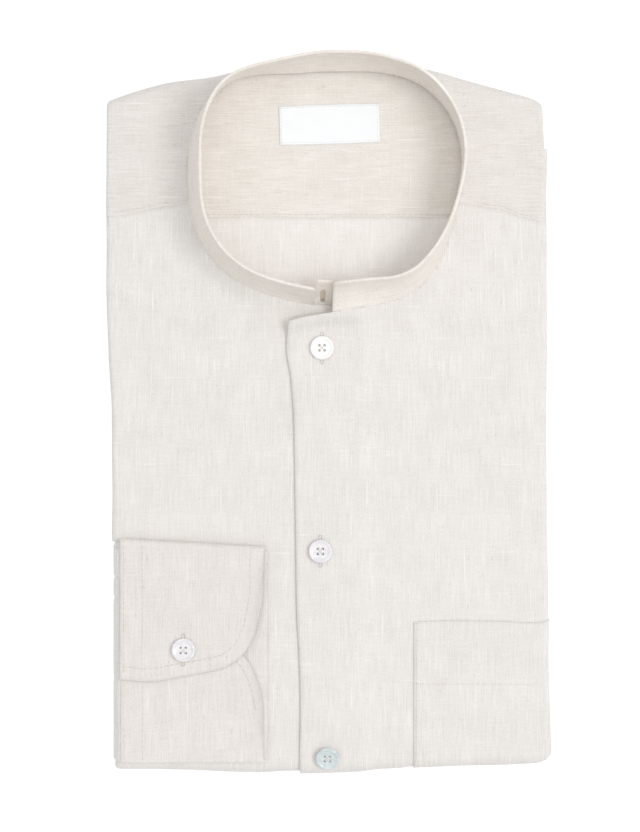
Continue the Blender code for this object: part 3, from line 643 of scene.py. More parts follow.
def neck_outline(last):
    """The seam, moved in by as much as the flared band has come in at the sheets' upper face."""
    turn = np.linspace(HOLE_FROM, last, 160)
    come_in = 1.0 - (1.0 - 1.25 * LAYER / COLLAR_HEIGHT) ** FLARE
    inward = np.maximum(band(turn, 2), 0.0) * come_in
    return list(zip(*collar_seam(turn, -SEAM_OVERLAP - inward)))


def object_of(name, shape):
    """An object from a bmesh, which is freed."""
    mesh = bpy.data.meshes.new(name)
    shape.to_mesh(mesh)
    shape.free()
    return new_object(name, mesh)


def prism(name, outline):
    shape = bmesh.new()
    rings = [[shape.verts.new(((x + SHIFT[0]) * MM, (y + SHIFT[1]) * MM, z * MM)) for x, y in outline]
             for z in (CUTTER_LOW, CUTTER_HIGH)]
    for k in range(len(outline)):
        shape.faces.new((rings[0][k - 1], rings[0][k], rings[1][k], rings[1][k - 1]))
    for ring in rings:
        shape.faces.new(ring)
    bmesh.ops.recalc_face_normals(shape, faces=shape.faces)
    return object_of(name, shape)


def cut(things, cutter):
    for thing in things:
        hole = thing.modifiers.new("hole", "BOOLEAN")
        hole.operation = "DIFFERENCE"
        hole.solver = "EXACT"
        hole.object = cutter
        as_plain_mesh(thing)
    bpy.data.objects.remove(cutter)


lap_x = np.linspace(LAP_TOP[-1].across, LAP_TOP[0].across, 12)
lap_line = list(zip(lap_x, read(LAP_TOP, lap_x)))
cut([front_left], prism("neck_lap", neck_outline(HOLE_LAP) + lap_line))
cut([front_right, yoke_outer], prism("neck", neck_outline(HOLE_TO)))
print("neck hole cut")

# %% [markdown]
# ## The collar
# A mandarin collar is a stiffened band that stands on the neck seam. Each direction round the neck
# has its rim radius and how far the foot sits outside the rim, which is how the band leans. Its
# front corners are cut round, and a lower tongue with a slit goes on behind the other end.

# %% Collar band
COLLAR_CORNER = 8.0
COLLAR_END = 261.5         # direction of the buttonhole end, where the tongue starts
TONGUE_END, TONGUE_RISE, TONGUE_IN = 269.5, 0.6, 9.0
SLOT = [(-4.6, 59.4), (-4.2, 54.6), (-2.0, 54.4), (-1.6, 59.8), (-2.8, 60.6)]
LINING_OUT, LINING_IN = -2.7, -3.4
TURNS = np.concatenate([np.linspace(COLLAR[0].turn, 259.0, 420), np.linspace(259.2, TONGUE_END, 60)])
RIM_RADIUS, END_RADIUS = 60.0, 58.0        # near enough for lengths along the rim
ROLL, RIM_WAVE = 0.4, 0.3  # how uneven the band is, outwards and along its rim


def collar_rise(turn):
    """Height of the rim as a share: whole, but round at the two front corners."""
    ends = np.radians(np.minimum(turn - COLLAR[0].turn, COLLAR_END - turn)) * END_RADIUS
    drop = 1.0 - np.clip(ends / COLLAR_CORNER, 0.0, 1.0)
    rise = 1.0 - (1.0 - np.sqrt(1.0 - drop * drop)) * COLLAR_CORNER / COLLAR_HEIGHT
    return mix(rise, TONGUE_RISE, ease((turn - COLLAR_END + 0.3) / 0.6))


def collar_points(turn, share, offset):
    """Points of the band's middle surface at a share of its height, moved outwards."""
    rim, lean = band(turn), band(turn, 2)
    share = share * collar_rise(turn)
    x, y = collar_seam(turn)
    rise = foot_rise(turn, x, y)
    foot = top_height(x, y) - LAYER - relief(x, y) * share + rise
    around = np.radians(turn) * RIM_RADIUS
    roll = ROLL * share * lattice(around, share * 12.0, 23.0, 11)
    inward = TONGUE_IN * share * ease((turn - COLLAR_END) / 0.8)
    radius = rim + lean * np.maximum(1.0 - share, 0.0) ** FLARE + offset + roll - inward
    height = np.sqrt(COLLAR_HEIGHT ** 2 - lean ** 2) - rise + RIM_WAVE * lattice(around, 0.0, 31.0, 12)
    return xyz(*round_neck(turn, radius), foot + height * share)


def band_wall(name, turns, shares, faces_at):
    """Wall of the band between two offsets, over a range of directions and heights."""
    turn, share = np.meshgrid(turns, shares, indexing="ij")
    return cloth_wall(name, lambda offset: collar_points(turn, share, offset), faces_at, curved=True)


collar = band_wall("shirt_collar", TURNS, np.linspace(0.0, 1.0, 26), (0.0, -COLLAR_CLOTH))
cut([collar], prism("slot", SLOT))
# The tongue's lining is the band's second layer behind the slit, and its browner finish is painted shade
# seen through the slit.
tongue_lining_painted_shade = band_wall("shirt_collar_lining", np.linspace(262.6, 268.6, 14),
                          np.linspace(0.06, 0.6, 18), (LINING_OUT, LINING_IN))
tell("collar:", collar)

# %% [markdown]
# ## The pocket
# The chest pocket lies on the left front and turns the side and the bottom with it, so it is the
# front's own points moved out.

# %% Pocket
POCKET_OUT, POCKET_MIDDLE, POCKET_COLUMNS = 0.7, 80.0, 40
TOP_STEPS, FOLD_STEPS, UNDER_STEPS = 34, 18, 12


def pocket_rows():
    """The front's stations from the pocket's top edge to its bottom edge underneath."""
    fold = float(read(BOTTOM_FOLD, POCKET_MIDDLE)) + FOLD_REACH
    seam = float(read(FRONT_SEAM, POCKET_MIDDLE))
    first = (seam - POCKET_TOP) / (seam - fold)
    last = (POCKET_UNDER_END - fold) / (TAIL_EDGE - fold)
    rows = []
    for part, share in stations(TOP_STEPS, FOLD_STEPS, UNDER_STEPS):
        share = {"top": mix(first, 1.0, share), "fold": share, "under": last * share}[part]
        rows.append((part, share))
    return rows


POCKET_ROWS = pocket_rows()
pocket = cloth_wall("shirt_pocket", lambda offset: left_points(
    offset, POCKET_ROWS, POCKET_COLUMNS, lambda station: POCKET_EDGE), (POCKET_OUT, GAP))
tell("pocket:", pocket)

# %% [markdown]
# ## The cuff
# A shirt cuff is one stiff strip buttoned into a ring. Pressed flat it winds from its buttonhole
# flap over the top fold, behind, round the bottom fold and back to the button lap. The corners of
# both ends are cut round.

# %% Cuff
CUFF_COLUMNS, CUFF_SWELL = 60, 0.12
CUFF_PARTS = [("flap", 36), ("over", 14), ("back", 30), ("below", 12), ("lap", 32)]


def cuff_line(part, share, x):
    """(y, height above the front, normal y, normal z, hem x) of one line across the cuff."""
    half = CUFF_CLOTH / 2
    big, small = (CUFF_FLAP - CUFF_BACK) / 2, (CUFF_LAP - CUFF_BACK) / 2
    top, bottom = read(CUFF_TOP, x) - big - half, read(CUFF_BOTTOM, x) + small + half
    sine, cosine = math.sin(math.pi * share), math.cos(math.pi * share)
    return {
        "flap": (mix(read(FLAP_END, x), top, share), CUFF_FLAP, 0.0, 1.0, CUFF_TOP_HEM),
        "over": (top + big * sine, CUFF_BACK + big + big * cosine, sine, cosine,
                 mix(CUFF_TOP_HEM, CUFF_BACK_HEM, share)),
        "back": (mix(top, bottom, share), CUFF_BACK, 0.0, -1.0, CUFF_BACK_HEM),
        "below": (bottom - small * sine, CUFF_BACK + small - small * cosine, -sine, -cosine,
                  mix(CUFF_BACK_HEM, CUFF_TOP_HEM, share)),
        "lap": (mix(bottom, read(LAP_END, x), share), CUFF_LAP, 0.0, 1.0, CUFF_TOP_HEM),
    }[part]


def cuff_grid(side):
    column = np.linspace(CUFF_SEAM, CUFF_TOP_HEM, CUFF_COLUMNS)
    share_x = np.linspace(0.0, 1.0, CUFF_COLUMNS)
    grid = []
    for part, steps in CUFF_PARTS:
        for k in range(steps + (part == "lap")):
            y, height, normal_y, normal_z, hem = cuff_line(part, k / steps, column)
            x = mix(CUFF_SEAM, hem, share_x)
            swell = CUFF_SWELL * lattice(x, y + 3 * height, 11.0, 21)
            z = top_height(column, y) + height + swell + side * normal_z
            grid.append(xyz(x, y + side * normal_y, z))
    return np.array(grid)


cuff = cloth_wall("shirt_cuff", cuff_grid, (CUFF_CLOTH / 2, -CUFF_CLOTH / 2))
tell("cuff:", cuff)

# %% [markdown]
# ## The sleeve
# Only a strip of the sleeve shows: it leaves the cuff, turns the pile's left side and runs in
# between the folded layers. It is a flattened tube that is swept round a few bends, with the small
# pleats that gather it into the cuff.

# %% Sleeve
Bend = namedtuple("Bend", "x z angle half low")
Pleat = namedtuple("Pleat", "along depth")
PLEATS = table(Pleat, (-83.0, 0.7), (-93.5, 0.7), (-133.5, 0.6), (-158.0, 0.4))
PLEAT_WIDTH, PLEAT_BENDS = 0.9, 18
SLEEVE_LOW, SLEEVE_HIGH, SLEEVE_HALF, SLEEVE_CLOTH, SLEEVE_IN = -175.2, -65.6, 2.0, 0.8, -167.0
SLEEVE_STEPS, SLEEVE_RUN = 26, 70


def sleeve_bends():
    height = float(top_height(-104.0, -120.0) - relief(-104.0, -120.0))
    centre_x, centre_z = LEFT_EDGE[2].side + HOOK_TOP / 2, height - HOOK_TOP / 2
    radius = HOOK_TOP / 2 + GAP + SLEEVE_HALF + 0.2
    bends = [Bend(CUFF_SEAM - GAP, height + 2.3, 90, 2.0, SLEEVE_LOW),
             Bend(-105.0, height + 0.9, 125, 1.8, SLEEVE_LOW)]
    for angle in range(180, 271, 10):
        low_end = mix(SLEEVE_LOW, SLEEVE_IN, float(ease((angle - 175) / 45)))
        turn = math.radians(angle)
        bends.append(Bend(centre_x + radius * math.cos(turn), centre_z + radius * math.sin(turn),
                          angle, SLEEVE_HALF, low_end))
    return bends + [Bend(-96.5, centre_z - radius, 270, SLEEVE_HALF, SLEEVE_IN)]


def make_sleeve():
    bends = sleeve_bends()
    way = path_lengths(np.array([(bend.x, bend.z) for bend in bends]))
    steps = np.linspace(0.0, way[-1], SLEEVE_STEPS)
    x, z, angle, half, low_end = (np.interp(steps, way, column) for column in zip(*bends))
    sweep = np.linspace(0.0, math.pi, 9)
    run = np.linspace(0.0, 1.0, SLEEVE_RUN)[1:-1]
    loops = []
    for shrink in (0.0, SLEEVE_CLOTH):
        for i in range(SLEEVE_STEPS):
            size = half[i] - shrink
            top_y, low_y = SLEEVE_HIGH - half[i], low_end[i] + half[i]
            y = np.concatenate([top_y + size * np.sin(sweep), mix(top_y, low_y, run),
                                low_y - size * np.sin(sweep), mix(low_y, top_y, run)])
            across = np.concatenate([size * np.cos(sweep), np.full(len(run), -size),
                                     -size * np.cos(sweep), np.full(len(run), size)])
            for row in PLEATS:
                dent = row.depth * np.exp(-((y - row.along) / PLEAT_WIDTH) ** 2)
                across -= dent * (across > 0) * (i < PLEAT_BENDS)
            normal = math.radians(angle[i])
            loops.append(xyz(x[i] + math.cos(normal) * across, y, z[i] + math.sin(normal) * across))
    points = np.array(loops)
    number = np.arange(points[..., 0].size).reshape(2, SLEEVE_STEPS, -1)
    faces = [tube(number[0]), tube(number[1])[:, ::-1], tube(number[:, 0])[:, ::-1],
             tube(number[:, -1])]
    u, v = np.meshgrid(path_lengths(points[0]), steps)
    uv = flat_map(v, u)
    return make_mesh("shirt_sleeve", points.reshape(-1, 3), np.concatenate(faces),
                     np.concatenate([uv, uv]))


sleeve = make_sleeve()
tell("sleeve:", sleeve)

# %% [markdown]
# ## The folded layers inside
# The hidden sheets show only as soft leaves at the sides. One rounded bundle stands for them: a
# ring of points for each step along the pile, whose two ends are closed like a ladder.

# %% Folded layers
# how far the leaves' tips stay inside the side edges, and their lowest and highest place
Leaf = namedtuple("Leaf", "along left right floor roof")
LEAVES = table(Leaf, (-165, 12, 11, 7.4, 6.8), (-160, 12, 3.0, 7.4, 6.8), (-100, 12, 2.6, 7.4, 6.8),
               (-85, 12, 2.4, 5.0, 5.6), (-60, 12, 2.6, 5.0, 5.6), (-48, 3.0, 2.8, 5.0, 5.6),
               (60, 2.6, 2.4, 5.0, 5.6), (112, 4.0, 3.5, 5.0, 5.6), (126, 11, 11, 5.4, 5.4),
               (180, 11, 11, 5.4, 5.4))
BUNDLE_DEPTH = 2 * LAYER + 0.2
BUNDLE_LOW, BUNDLE_HIGH, BUNDLE_SINK = -165.0, 122.0, 118.0
BUNDLE_COLUMNS, LEAF_STEPS, LEAF_LEAST = 60, 20, 0.8


def bundle_place(x, kind, value):
    if kind == "bottom":
        return read(BOTTOM_FOLD, x) + value
    if kind == "flat":
        return value + 0 * x
    return mix(126.0, read(SHOULDER_EDGE, x) - SHOULDER_REACH - 1.5, value)


def bundle_heights(x, kind, value):
    """Lowest and highest point of the bundle over a place."""
    y = bundle_place(x, kind, value)
    if kind == "bottom":
        half = top_height(x, y) / 2
        lean = (FOLD_REACH - value) / (FOLD_REACH - BUNDLE_DEPTH)
        spread = (half - BUNDLE_DEPTH) * math.sqrt(max(1.0 - lean * lean, 0.0))
        return half - spread, half + spread
    floor = BUNDLE_DEPTH + 1.15 * placket_trough(x, y) + floor_relief(x, y)
    sunk = mix(floor, under_height(y) + CLOTH + 1.5, ease((y - BUNDLE_SINK) / 8.0))
    return np.where(y > BUNDLE_SINK, sunk, floor), top_height(x, y) - BUNDLE_DEPTH


def leaf_line(root, tip, floor, roof, side):
    """(x, z) from the bundle's lower corner out round two soft leaves and back."""
    share = np.linspace(0.0, 1.0, LEAF_STEPS + 1)
    reach = (tip - root) * side
    lobes = np.abs(np.sin(2 * math.pi * share)) ** 0.55
    if reach < 3.0:
        lobes = np.sin(math.pi * share)
    return root + side * lobes * max(reach, 0.6), mix(floor, roof, share)


def bundle_side(rows, root, side, kind, value):
    """The leaves' line at one side of the bundle."""
    y_mid = float(bundle_place(0.0, kind, value))
    low_z, high_z = (float(z) for z in bundle_heights(root, kind, value))
    keep, above, below = (float(read(LEAVES, y_mid, column)) for column in (2 if side > 0 else 1, 3, 4))
    tip = float(read(rows, bundle_place(root, kind, value))) - side * keep
    from_z = max(above, low_z + 0.3)
    to_z = min(float(top_height(root, y_mid)) - below, high_z - 0.3)
    if kind == "bottom" or to_z - from_z < LEAF_LEAST:
        from_z, to_z = mix(low_z, high_z, 0.2), mix(low_z, high_z, 0.8)
        tip = root
    return leaf_line(root, tip, from_z, to_z, side)


def make_bundle():
    places = [("bottom", reach) for reach in (3.3, 3.5, 3.9, 4.6, 5.5, FOLD_REACH)]
    places += [("flat", y) for y in np.linspace(BUNDLE_LOW, BUNDLE_HIGH, 116)]
    places += [("shoulder", share) for share in np.linspace(0.1, 1.0, 12)]
    rings = []
    for place in places:
        left = max(float(read(LEFT_EDGE, bundle_place(-100.0, *place))), UNDER_LEFT)
        right = min(float(read(RIGHT_EDGE, bundle_place(100.0, *place))), UNDER_RIGHT)
        left_root, right_root = left + HOOK_REACH + 1.8, right - HOOK_REACH - 1.8
        x = np.linspace(left_root, right_root, BUNDLE_COLUMNS)
        floor, roof = bundle_heights(x, *place)
        right_x, right_z = bundle_side(RIGHT_EDGE, right_root, 1, *place)
        left_x, left_z = bundle_side(LEFT_EDGE, left_root, -1, *place)
        ring_x = np.concatenate([x, right_x, x[::-1], left_x[::-1]])
        ring_z = np.concatenate([floor, right_z, roof[::-1], left_z[::-1]])
        rings.append(xyz(ring_x, bundle_place(ring_x, *place), ring_z))
    rings = np.array(rings)
    length, count = rings.shape[:2]
    number = np.arange(length * count).reshape(length, count)
    fold = 2 * BUNDLE_COLUMNS + LEAF_STEPS
    i = np.arange(fold // 2 - count // 2 + 1, fold // 2)
    ladder = quads(i, i + 1, fold - i - 1, fold - i) % count
    faces = [tube(number), number[0][ladder], number[-1][ladder][:, ::-1]]
    u, v = np.meshgrid(path_lengths(rings[length // 2]), path_lengths(rings[:, 10]))
    return make_mesh("shirt_folded_layers", rings.reshape(-1, 3), np.concatenate(faces),
                     flat_map(u, v))


bundle = make_bundle()
tell("folded layers:", bundle)

# %% [markdown]
# ## The neck label
# A woven tape, sewn a little askew on the inner yoke. It stays bare.

# %% Label
LABEL_WIDTH, LABEL_HEIGHT, LABEL_TILT, LABEL_PLACE = 50.0, 19.2, math.radians(1.8), (0.3, 144.0)
LABEL_BOW = 0.25           # how far the tape bows and puffs
LABEL_FACES = 0.75, 0.15   # its two faces above the yoke


def label_points(a, b, lift):
    """Place on the label, from its middle, in millimetres."""
    bow = LABEL_BOW * np.cos(math.pi * a / LABEL_WIDTH) * (b / LABEL_HEIGHT) * 2
    x = LABEL_PLACE[0] + a * math.cos(LABEL_TILT) - (b + bow) * math.sin(LABEL_TILT)
    y = LABEL_PLACE[1] + a * math.sin(LABEL_TILT) + (b + bow) * math.cos(LABEL_TILT)
    return xyz(x, y, top_height(x, y) - LAYER + lift)


a, b = np.meshgrid(np.linspace(-0.5, 0.5, 60) * LABEL_WIDTH, np.linspace(-0.5, 0.5, 26) * LABEL_HEIGHT)
puff = LABEL_BOW * np.cos(math.pi * a / LABEL_WIDTH) * np.cos(math.pi * b / LABEL_HEIGHT)
label = cloth_wall("shirt_neck_label", lambda lift: label_points(a, b, lift + puff), LABEL_FACES)
print("label:", LABEL_WIDTH, "x", LABEL_HEIGHT, "mm")

# %% [markdown]
# ## Buttons
# Four-hole buttons of mother-of-pearl are turned on a lathe: a rounded back, a raised rim and a
# dished face. One profile is spun, drilled once with a Boolean, and copied to every place.

# %% Buttons
Button = namedtuple("Button", "node across along on")
BUTTONS = table(Button, ("button_1", *BUTTON_1, "placket"), ("button_2", -4.3, -70.0, "placket"),
                ("button_3", -0.8, -173.0, "fold"), ("button_4", -3.0, -98.0, "under"),
                ("button_5", -3.0, 4.0, "under"), ("button_6", -3.0, 106.0, "under"),
                ("button_cuff", -72.5, -119.0, "cuff"))
HOLE_RADIUS, HOLE_AT, DRILL_LONG = 0.6, 1.25, 6.0
FOLD_TILT, SHARP = math.radians(18), math.radians(50)
BUTTON_PROFILE = [(0.0, 0.0), (3.4, 0.0), (4.6, 0.08), (5.4, 0.42), (5.8, 0.86), (5.9, 1.15),
                  (5.84, 1.5), (5.66, 1.8), (5.38, 1.96), (5.08, 1.99), (4.8, 1.92), (4.5, 1.74),
                  (4.2, 1.6), (3.8, 1.53), (3.2, 1.5), (0.0, 1.48)]
CUFF_FACE = CUFF_FLAP + CUFF_CLOTH / 2             # the flap's upper face above the front


def spun_button():
    shape = bmesh.new()
    verts = [shape.verts.new((r, 0.0, z)) for r, z in BUTTON_PROFILE]
    edges = [shape.edges.new(pair) for pair in zip(verts, verts[1:])]
    bmesh.ops.spin(shape, geom=verts + edges, cent=(0, 0, 0), axis=(0, 0, 1), angle=2 * math.pi, steps=72)
    bmesh.ops.remove_doubles(shape, verts=shape.verts, dist=0.001)
    bmesh.ops.recalc_face_normals(shape, faces=shape.faces)
    holes = bmesh.new()
    for across in (-HOLE_AT, HOLE_AT):
        for along in (-HOLE_AT, HOLE_AT):
            bmesh.ops.create_cone(holes, cap_ends=True, segments=24, radius1=HOLE_RADIUS,
                                  radius2=HOLE_RADIUS, depth=DRILL_LONG,
                                  matrix=Matrix.Translation((across, along, 1.0)))
    blank = object_of("button_blank", shape)
    cut([blank], object_of("button_drill", holes))
    mesh = blank.data
    bpy.data.objects.remove(blank)
    mesh.shade_smooth()
    mesh.set_sharp_from_angle(angle=SHARP)
    return mesh


def button_place(row):
    """Matrix in millimetres that puts a button on its cloth."""
    x, y, tilt = row.across, row.along, 0.0
    if row.on == "placket":
        z = float(top_height(x, y)) + LAYER + GAP
    elif row.on == "cuff":
        z = float(top_height(x, y)) + CUFF_FACE + GAP
    elif row.on == "under":
        z, tilt = BUTTON_TROUGH - GAP, math.pi
    else:
        tilt = FOLD_TILT
        start = float(read(BOTTOM_FOLD, x)) + FOLD_REACH
        half = float(top_height(x, start)) / 2
        along, tall = FOLD_REACH + LAYER, half + LAYER
        angle = math.atan(math.tan(tilt) * along / tall)
        touch_y, touch_z = start - along * math.sin(angle), half + tall * math.cos(angle)
        z = touch_z + (y - touch_y) * math.tan(tilt) + GAP / math.cos(tilt)
    place = Matrix.Translation((x + SHIFT[0], y + SHIFT[1], z))
    return place @ Matrix.Rotation(tilt, 4, "X")


def make_buttons():
    blank = spun_button()
    made = {}
    for row in BUTTONS:
        mesh = blank.copy()
        mesh.transform(Matrix.Scale(MM, 4) @ button_place(row))
        made[row.node] = new_object("pearl_" + row.node, mesh)
    return made


buttons = make_buttons()
print(len(buttons), "buttons of", 2 * BUTTON_RADIUS, "mm")

# %% [markdown]
# ## Node helpers
# Every finish is drawn by nodes. One helper adds a node with its inputs in order, one feeds named
# inputs, and a few more do the arithmetic, so that a finish reads like a recipe.

# %% Node helpers
def put(tree, socket, value):
    """Set a socket to a value, or link it to another socket."""
    if isinstance(value, bpy.types.NodeSocket):
        tree.links.new(value, socket)
    elif value is not None:
        socket.default_value = value


def add(tree, kind, *values, **settings):
    """A node with its settings, and its inputs in order set to values or linked to sockets."""
    made = tree.nodes.new(kind)
    for name, value in settings.items():
        setattr(made, name, value)
    for socket, value in zip(made.inputs, values):
        put(tree, socket, value)
    return made


def feed(tree, node, **values):
    """The same for a node's named inputs; an underscore stands for a space."""
    for name, value in values.items():
        put(tree, node.inputs[name.replace("_", " ")], value)
    return node


def calc(tree, operation, first, second=None):
    return add(tree, "ShaderNodeMath", first, second, operation=operation).outputs[0]


def times(tree, first, second):
    return calc(tree, "MULTIPLY", first, second)


def total(tree, *terms):
    """The terms added up one after the other."""
    result = terms[0]
    for term in terms[1:]:
        result = calc(tree, "ADD", result, term)
    return result


def blend(tree, share, first, second):
    """A colour between two colours."""
    return add(tree, "ShaderNodeMix", share, *[None] * 5, first, second, data_type="RGBA").outputs[2]


def rescale(tree, value, low, high, to_low=0.0, to_high=1.0):
    return add(tree, "ShaderNodeMapRange", value, low, high, to_low, to_high).outputs[0]


def split(tree, vector):
    return add(tree, "ShaderNodeSeparateXYZ", vector).outputs[:]


def cloth_axes(tree):
    """The cloth's own map: its vector, U across the warp and V along it."""
    cloth = add(tree, "ShaderNodeUVMap", uv_map="Cloth").outputs[0]
    return cloth, *split(tree, cloth)[:2]


def stretched_noise(tree, u, v, across, along, offset, detail=2.0, roughness=0.6):
    """Noise drawn out into streaks: grains per metre across and along, in its own place."""
    place = add(tree, "ShaderNodeCombineXYZ", times(tree, u, across), times(tree, v, along), offset)
    return add(tree, "ShaderNodeTexNoise", place.outputs[0], None, 1.0, detail, roughness).outputs[0]


def group(name, kind, takes, gives):
    """An empty node group with named inputs and outputs."""
    tree = bpy.data.node_groups.new(name, kind)
    for way, rows in (("INPUT", takes), ("OUTPUT", gives)):
        for label, socket_kind, *value in rows:
            socket = tree.interface.new_socket(label, in_out=way, socket_type="NodeSocket" + socket_kind)
            if value:
                socket.default_value = value[0]
    return tree, tree.nodes.new("NodeGroupInput").outputs, tree.nodes.new("NodeGroupOutput")


def tone(red, green, blue):
    """Linear colour of a swatch read as 0-255 values."""
    return (*[(c / 255 / 12.92) if c < 10 else ((c / 255 + 0.055) / 1.055) ** 2.4
              for c in (red, green, blue)], 1.0)


print("helpers ready")

# %% [markdown]
# ## Linen
# Linen is spun from uneven flax: some threads swell into slubs, and the crossing threads leave tiny
# shaded gaps. The group draws streaks along the warp, weaker ones along the weft, a few bright
# slubs, a few dark flecks, slow blotches, and the plain weave itself at its thread pitch. It reads
# the flat cloth's own map, so the streaks follow each piece round its folds.

# %% Linen weave group
THREAD_PITCH = 0.0005      # metres from thread to thread
# grains per metre across and along, the noise's place and its detail
Streak = namedtuple("Streak", "across along place detail")
STREAKS = table(Streak, (1500.0, 60.0, 0.0, 3.0), (75.0, 1500.0, 7.3, 3.0), (1900.0, 900.0, 3.1, 2.0),
                (95.0, 62.0, 13.7, 3.0), (760.0, 30.0, 21.0, 1.0), (30.0, 760.0, 29.0, 1.0),
                (1000.0, 210.0, 37.0, 1.0))


def linen_group():
    tree, take, end = group(
        "linen weave", "ShaderNodeTree",
        [("Cloth", "Vector"), ("Light", "Color", tone(240, 237, 234)),
         ("Shade", "Color", tone(214, 208, 203)), ("Pitch", "Float", THREAD_PITCH),
         ("Slubs", "Float", 1.0)],
        [("Color", "Color"), ("Roughness", "Float"), ("Height", "Float")])
    u, v = split(tree, take["Cloth"])[:2]
    warp, weft, fuzz, blotch, slub, slub_weft, fleck = (
        stretched_noise(tree, u, v, *row) for row in STREAKS)
    slub = rescale(tree, slub, 0.65, 0.75)
    slub_weft = rescale(tree, slub_weft, 0.68, 0.77)
    fleck = rescale(tree, fleck, 0.67, 0.77)
    turns = calc(tree, "DIVIDE", 2 * math.pi, take["Pitch"])
    crossing = times(tree, *(calc(tree, "SINE", times(tree, way, turns)) for way in (u, v)))
    slubs = times(tree, calc(tree, "MAXIMUM", slub, times(tree, slub_weft, 0.6)), take["Slubs"])

    share = total(tree, rescale(tree, warp, 0.28, 0.72, -0.24, 0.24),
                  rescale(tree, weft, 0.28, 0.72, -0.09, 0.09),
                  rescale(tree, fuzz, 0.25, 0.75, -0.2, 0.2),
                  rescale(tree, blotch, 0.3, 0.7, -0.1, 0.1),
                  times(tree, crossing, 0.07), 0.56, times(tree, slubs, 0.5))
    share = calc(tree, "SUBTRACT", share, times(tree, fleck, 0.45))
    height = total(tree, times(tree, crossing, 0.22), times(tree, warp, 0.8), times(tree, weft, 0.5),
                   times(tree, slubs, 0.7), times(tree, blotch, 0.5))
    color = blend(tree, rescale(tree, share, 0.0, 1.25, 0.0, 1.25), take["Shade"], take["Light"])
    feed(tree, end, Color=color, Roughness=rescale(tree, share, 0.0, 1.0, 0.94, 0.8), Height=height)
    return tree


linen_weave = linen_group()
print("linen group:", len(linen_weave.nodes), "nodes at", THREAD_PITCH * 1000, "mm pitch")

# %% [markdown]
# ## The linen finishes
# One cloth, in a few tones: the yokes are a shade warmer and the cuff a touch greyer. Other tones are
# painted light and shade: the back's inside and the collar are painted lighter against the shade
# inside the collar, the collar also warmer as that shade is, the hidden layers darker as painted shade
# between the sheets, and the slit's lining browner as painted shade seen through the slit. Each finish
# places the same group with its own two tones. Linen has a faint sheen at grazing angles and no gloss.

# %% Linen finishes
Finish = namedtuple("Finish", "name light shade slubs bump")
LINENS = table(
    Finish,
    ("linen_front_left", (246, 243, 241), (219, 215, 211), 1.15, 0.16),
    ("linen_front_right", (246, 243, 240), (219, 215, 211), 1.15, 0.16),
    ("linen_yoke", (244, 240, 237), (216, 211, 206), 0.9, 0.16),
    ("linen_yoke_inside", (247, 244, 240), (220, 214, 206), 1.0, 0.15),
    # the back's inside is painted lighter than the fronts: painted light against the shade inside the
    # collar
    ("linen_back_inside", (251, 248, 247), (230, 226, 221), 1.0, 0.15),
    # the collar's tones are painted lighter than the fronts' as painted light inside the band, and warmer
    # as the painted tint of its shade
    ("linen_collar", (253, 249, 244), (229, 222, 213), 0.8, 0.14),
    ("linen_cuff", (245, 241, 238), (216, 211, 207), 1.0, 0.16),
    ("linen_pocket", (245, 242, 239), (219, 214, 210), 1.0, 0.16),
    # the hidden layers are painted darker than the fronts: painted shade between the folded sheets
    ("linen_hidden", (240, 235, 230), (206, 199, 193), 1.0, 0.16),
    # the slit's lining is painted browner than the collar: painted shade seen through the slit
    ("linen_slot", (255, 246, 234), (236, 220, 204), 0.4, 0.14))


def shader_of(name, **constants):
    """A new material, its Principled shader, and its node tree, with constants set on the shader."""
    material = bpy.data.materials.new(name)
    material.use_nodes = True
    tree = material.node_tree
    return material, feed(tree, tree.nodes["Principled BSDF"], **constants), tree


def bump_of(tree, **values):
    return feed(tree, add(tree, "ShaderNodeBump"), **values).outputs[0]


def linen_finish(row):
    material, shader, tree = shader_of(row.name, Sheen_Weight=0.12, Sheen_Roughness=0.5,
                                       Specular_IOR_Level=0.18)
    weave = feed(tree, add(tree, "ShaderNodeGroup", node_tree=linen_weave), Cloth=cloth_axes(tree)[0],
                 Light=tone(*row.light), Shade=tone(*row.shade), Slubs=row.slubs).outputs
    feed(tree, shader, Base_Color=weave["Color"], Roughness=weave["Roughness"],
         Normal=bump_of(tree, Strength=0.8, Distance=row.bump * MM, Height=weave["Height"]))
    return material


linens = {row.name: linen_finish(row) for row in LINENS}
print("linen finishes:", ", ".join(linens))

# %% [markdown]
# ## Label tape, thread and pearl
# The label is a satin-woven tape, brighter and smoother than linen, with fine ribs. The thread is
# twisted cotton. Mother-of-pearl has slow cloudy bands that shift from warm to cool, under a hard
# clear polish.

# %% Small finishes
RIB_PITCH = 0.0007         # metres from rib to rib of the tape
Pearl = namedtuple("Pearl", "name warm cool turn")
# The rows are one pearl at three strengths: the first is painted lighter, painted light for the top
# button in full light, and the last darker and cooler, painted shade for the button tilted on the bottom
# fold.
PEARLS = table(Pearl, ("pearl_white", (255, 254, 253), (250, 250, 250), 0.3),
               ("pearl_grey", (246, 244, 246), (226, 226, 232), 1.1),
               ("pearl_cool", (222, 230, 230), (196, 210, 214), 2.0))


def label_finish():
    material, shader, tree = shader_of("label_tape", Sheen_Weight=0.2, Specular_IOR_Level=0.35)
    u, v = cloth_axes(tree)[1:]
    rib = calc(tree, "SINE", times(tree, v, 2 * math.pi / RIB_PITCH))
    grain = stretched_noise(tree, u, v, 260.0, 1500.0, 5.0)
    cloud = stretched_noise(tree, u, v, 90.0, 90.0, 9.0)
    share = total(tree, times(tree, rib, 0.06), rescale(tree, grain, 0.3, 0.7, 0.2, 0.7),
                  rescale(tree, cloud, 0.3, 0.7, -0.1, 0.2))
    feed(tree, shader, Base_Color=blend(tree, share, tone(245, 250, 255), tone(251, 254, 255)),
         Roughness=rescale(tree, grain, 0.3, 0.7, 0.5, 0.62),
         Normal=bump_of(tree, Distance=0.06 * MM, Height=total(tree, times(tree, rib, 0.4), grain)))
    return material


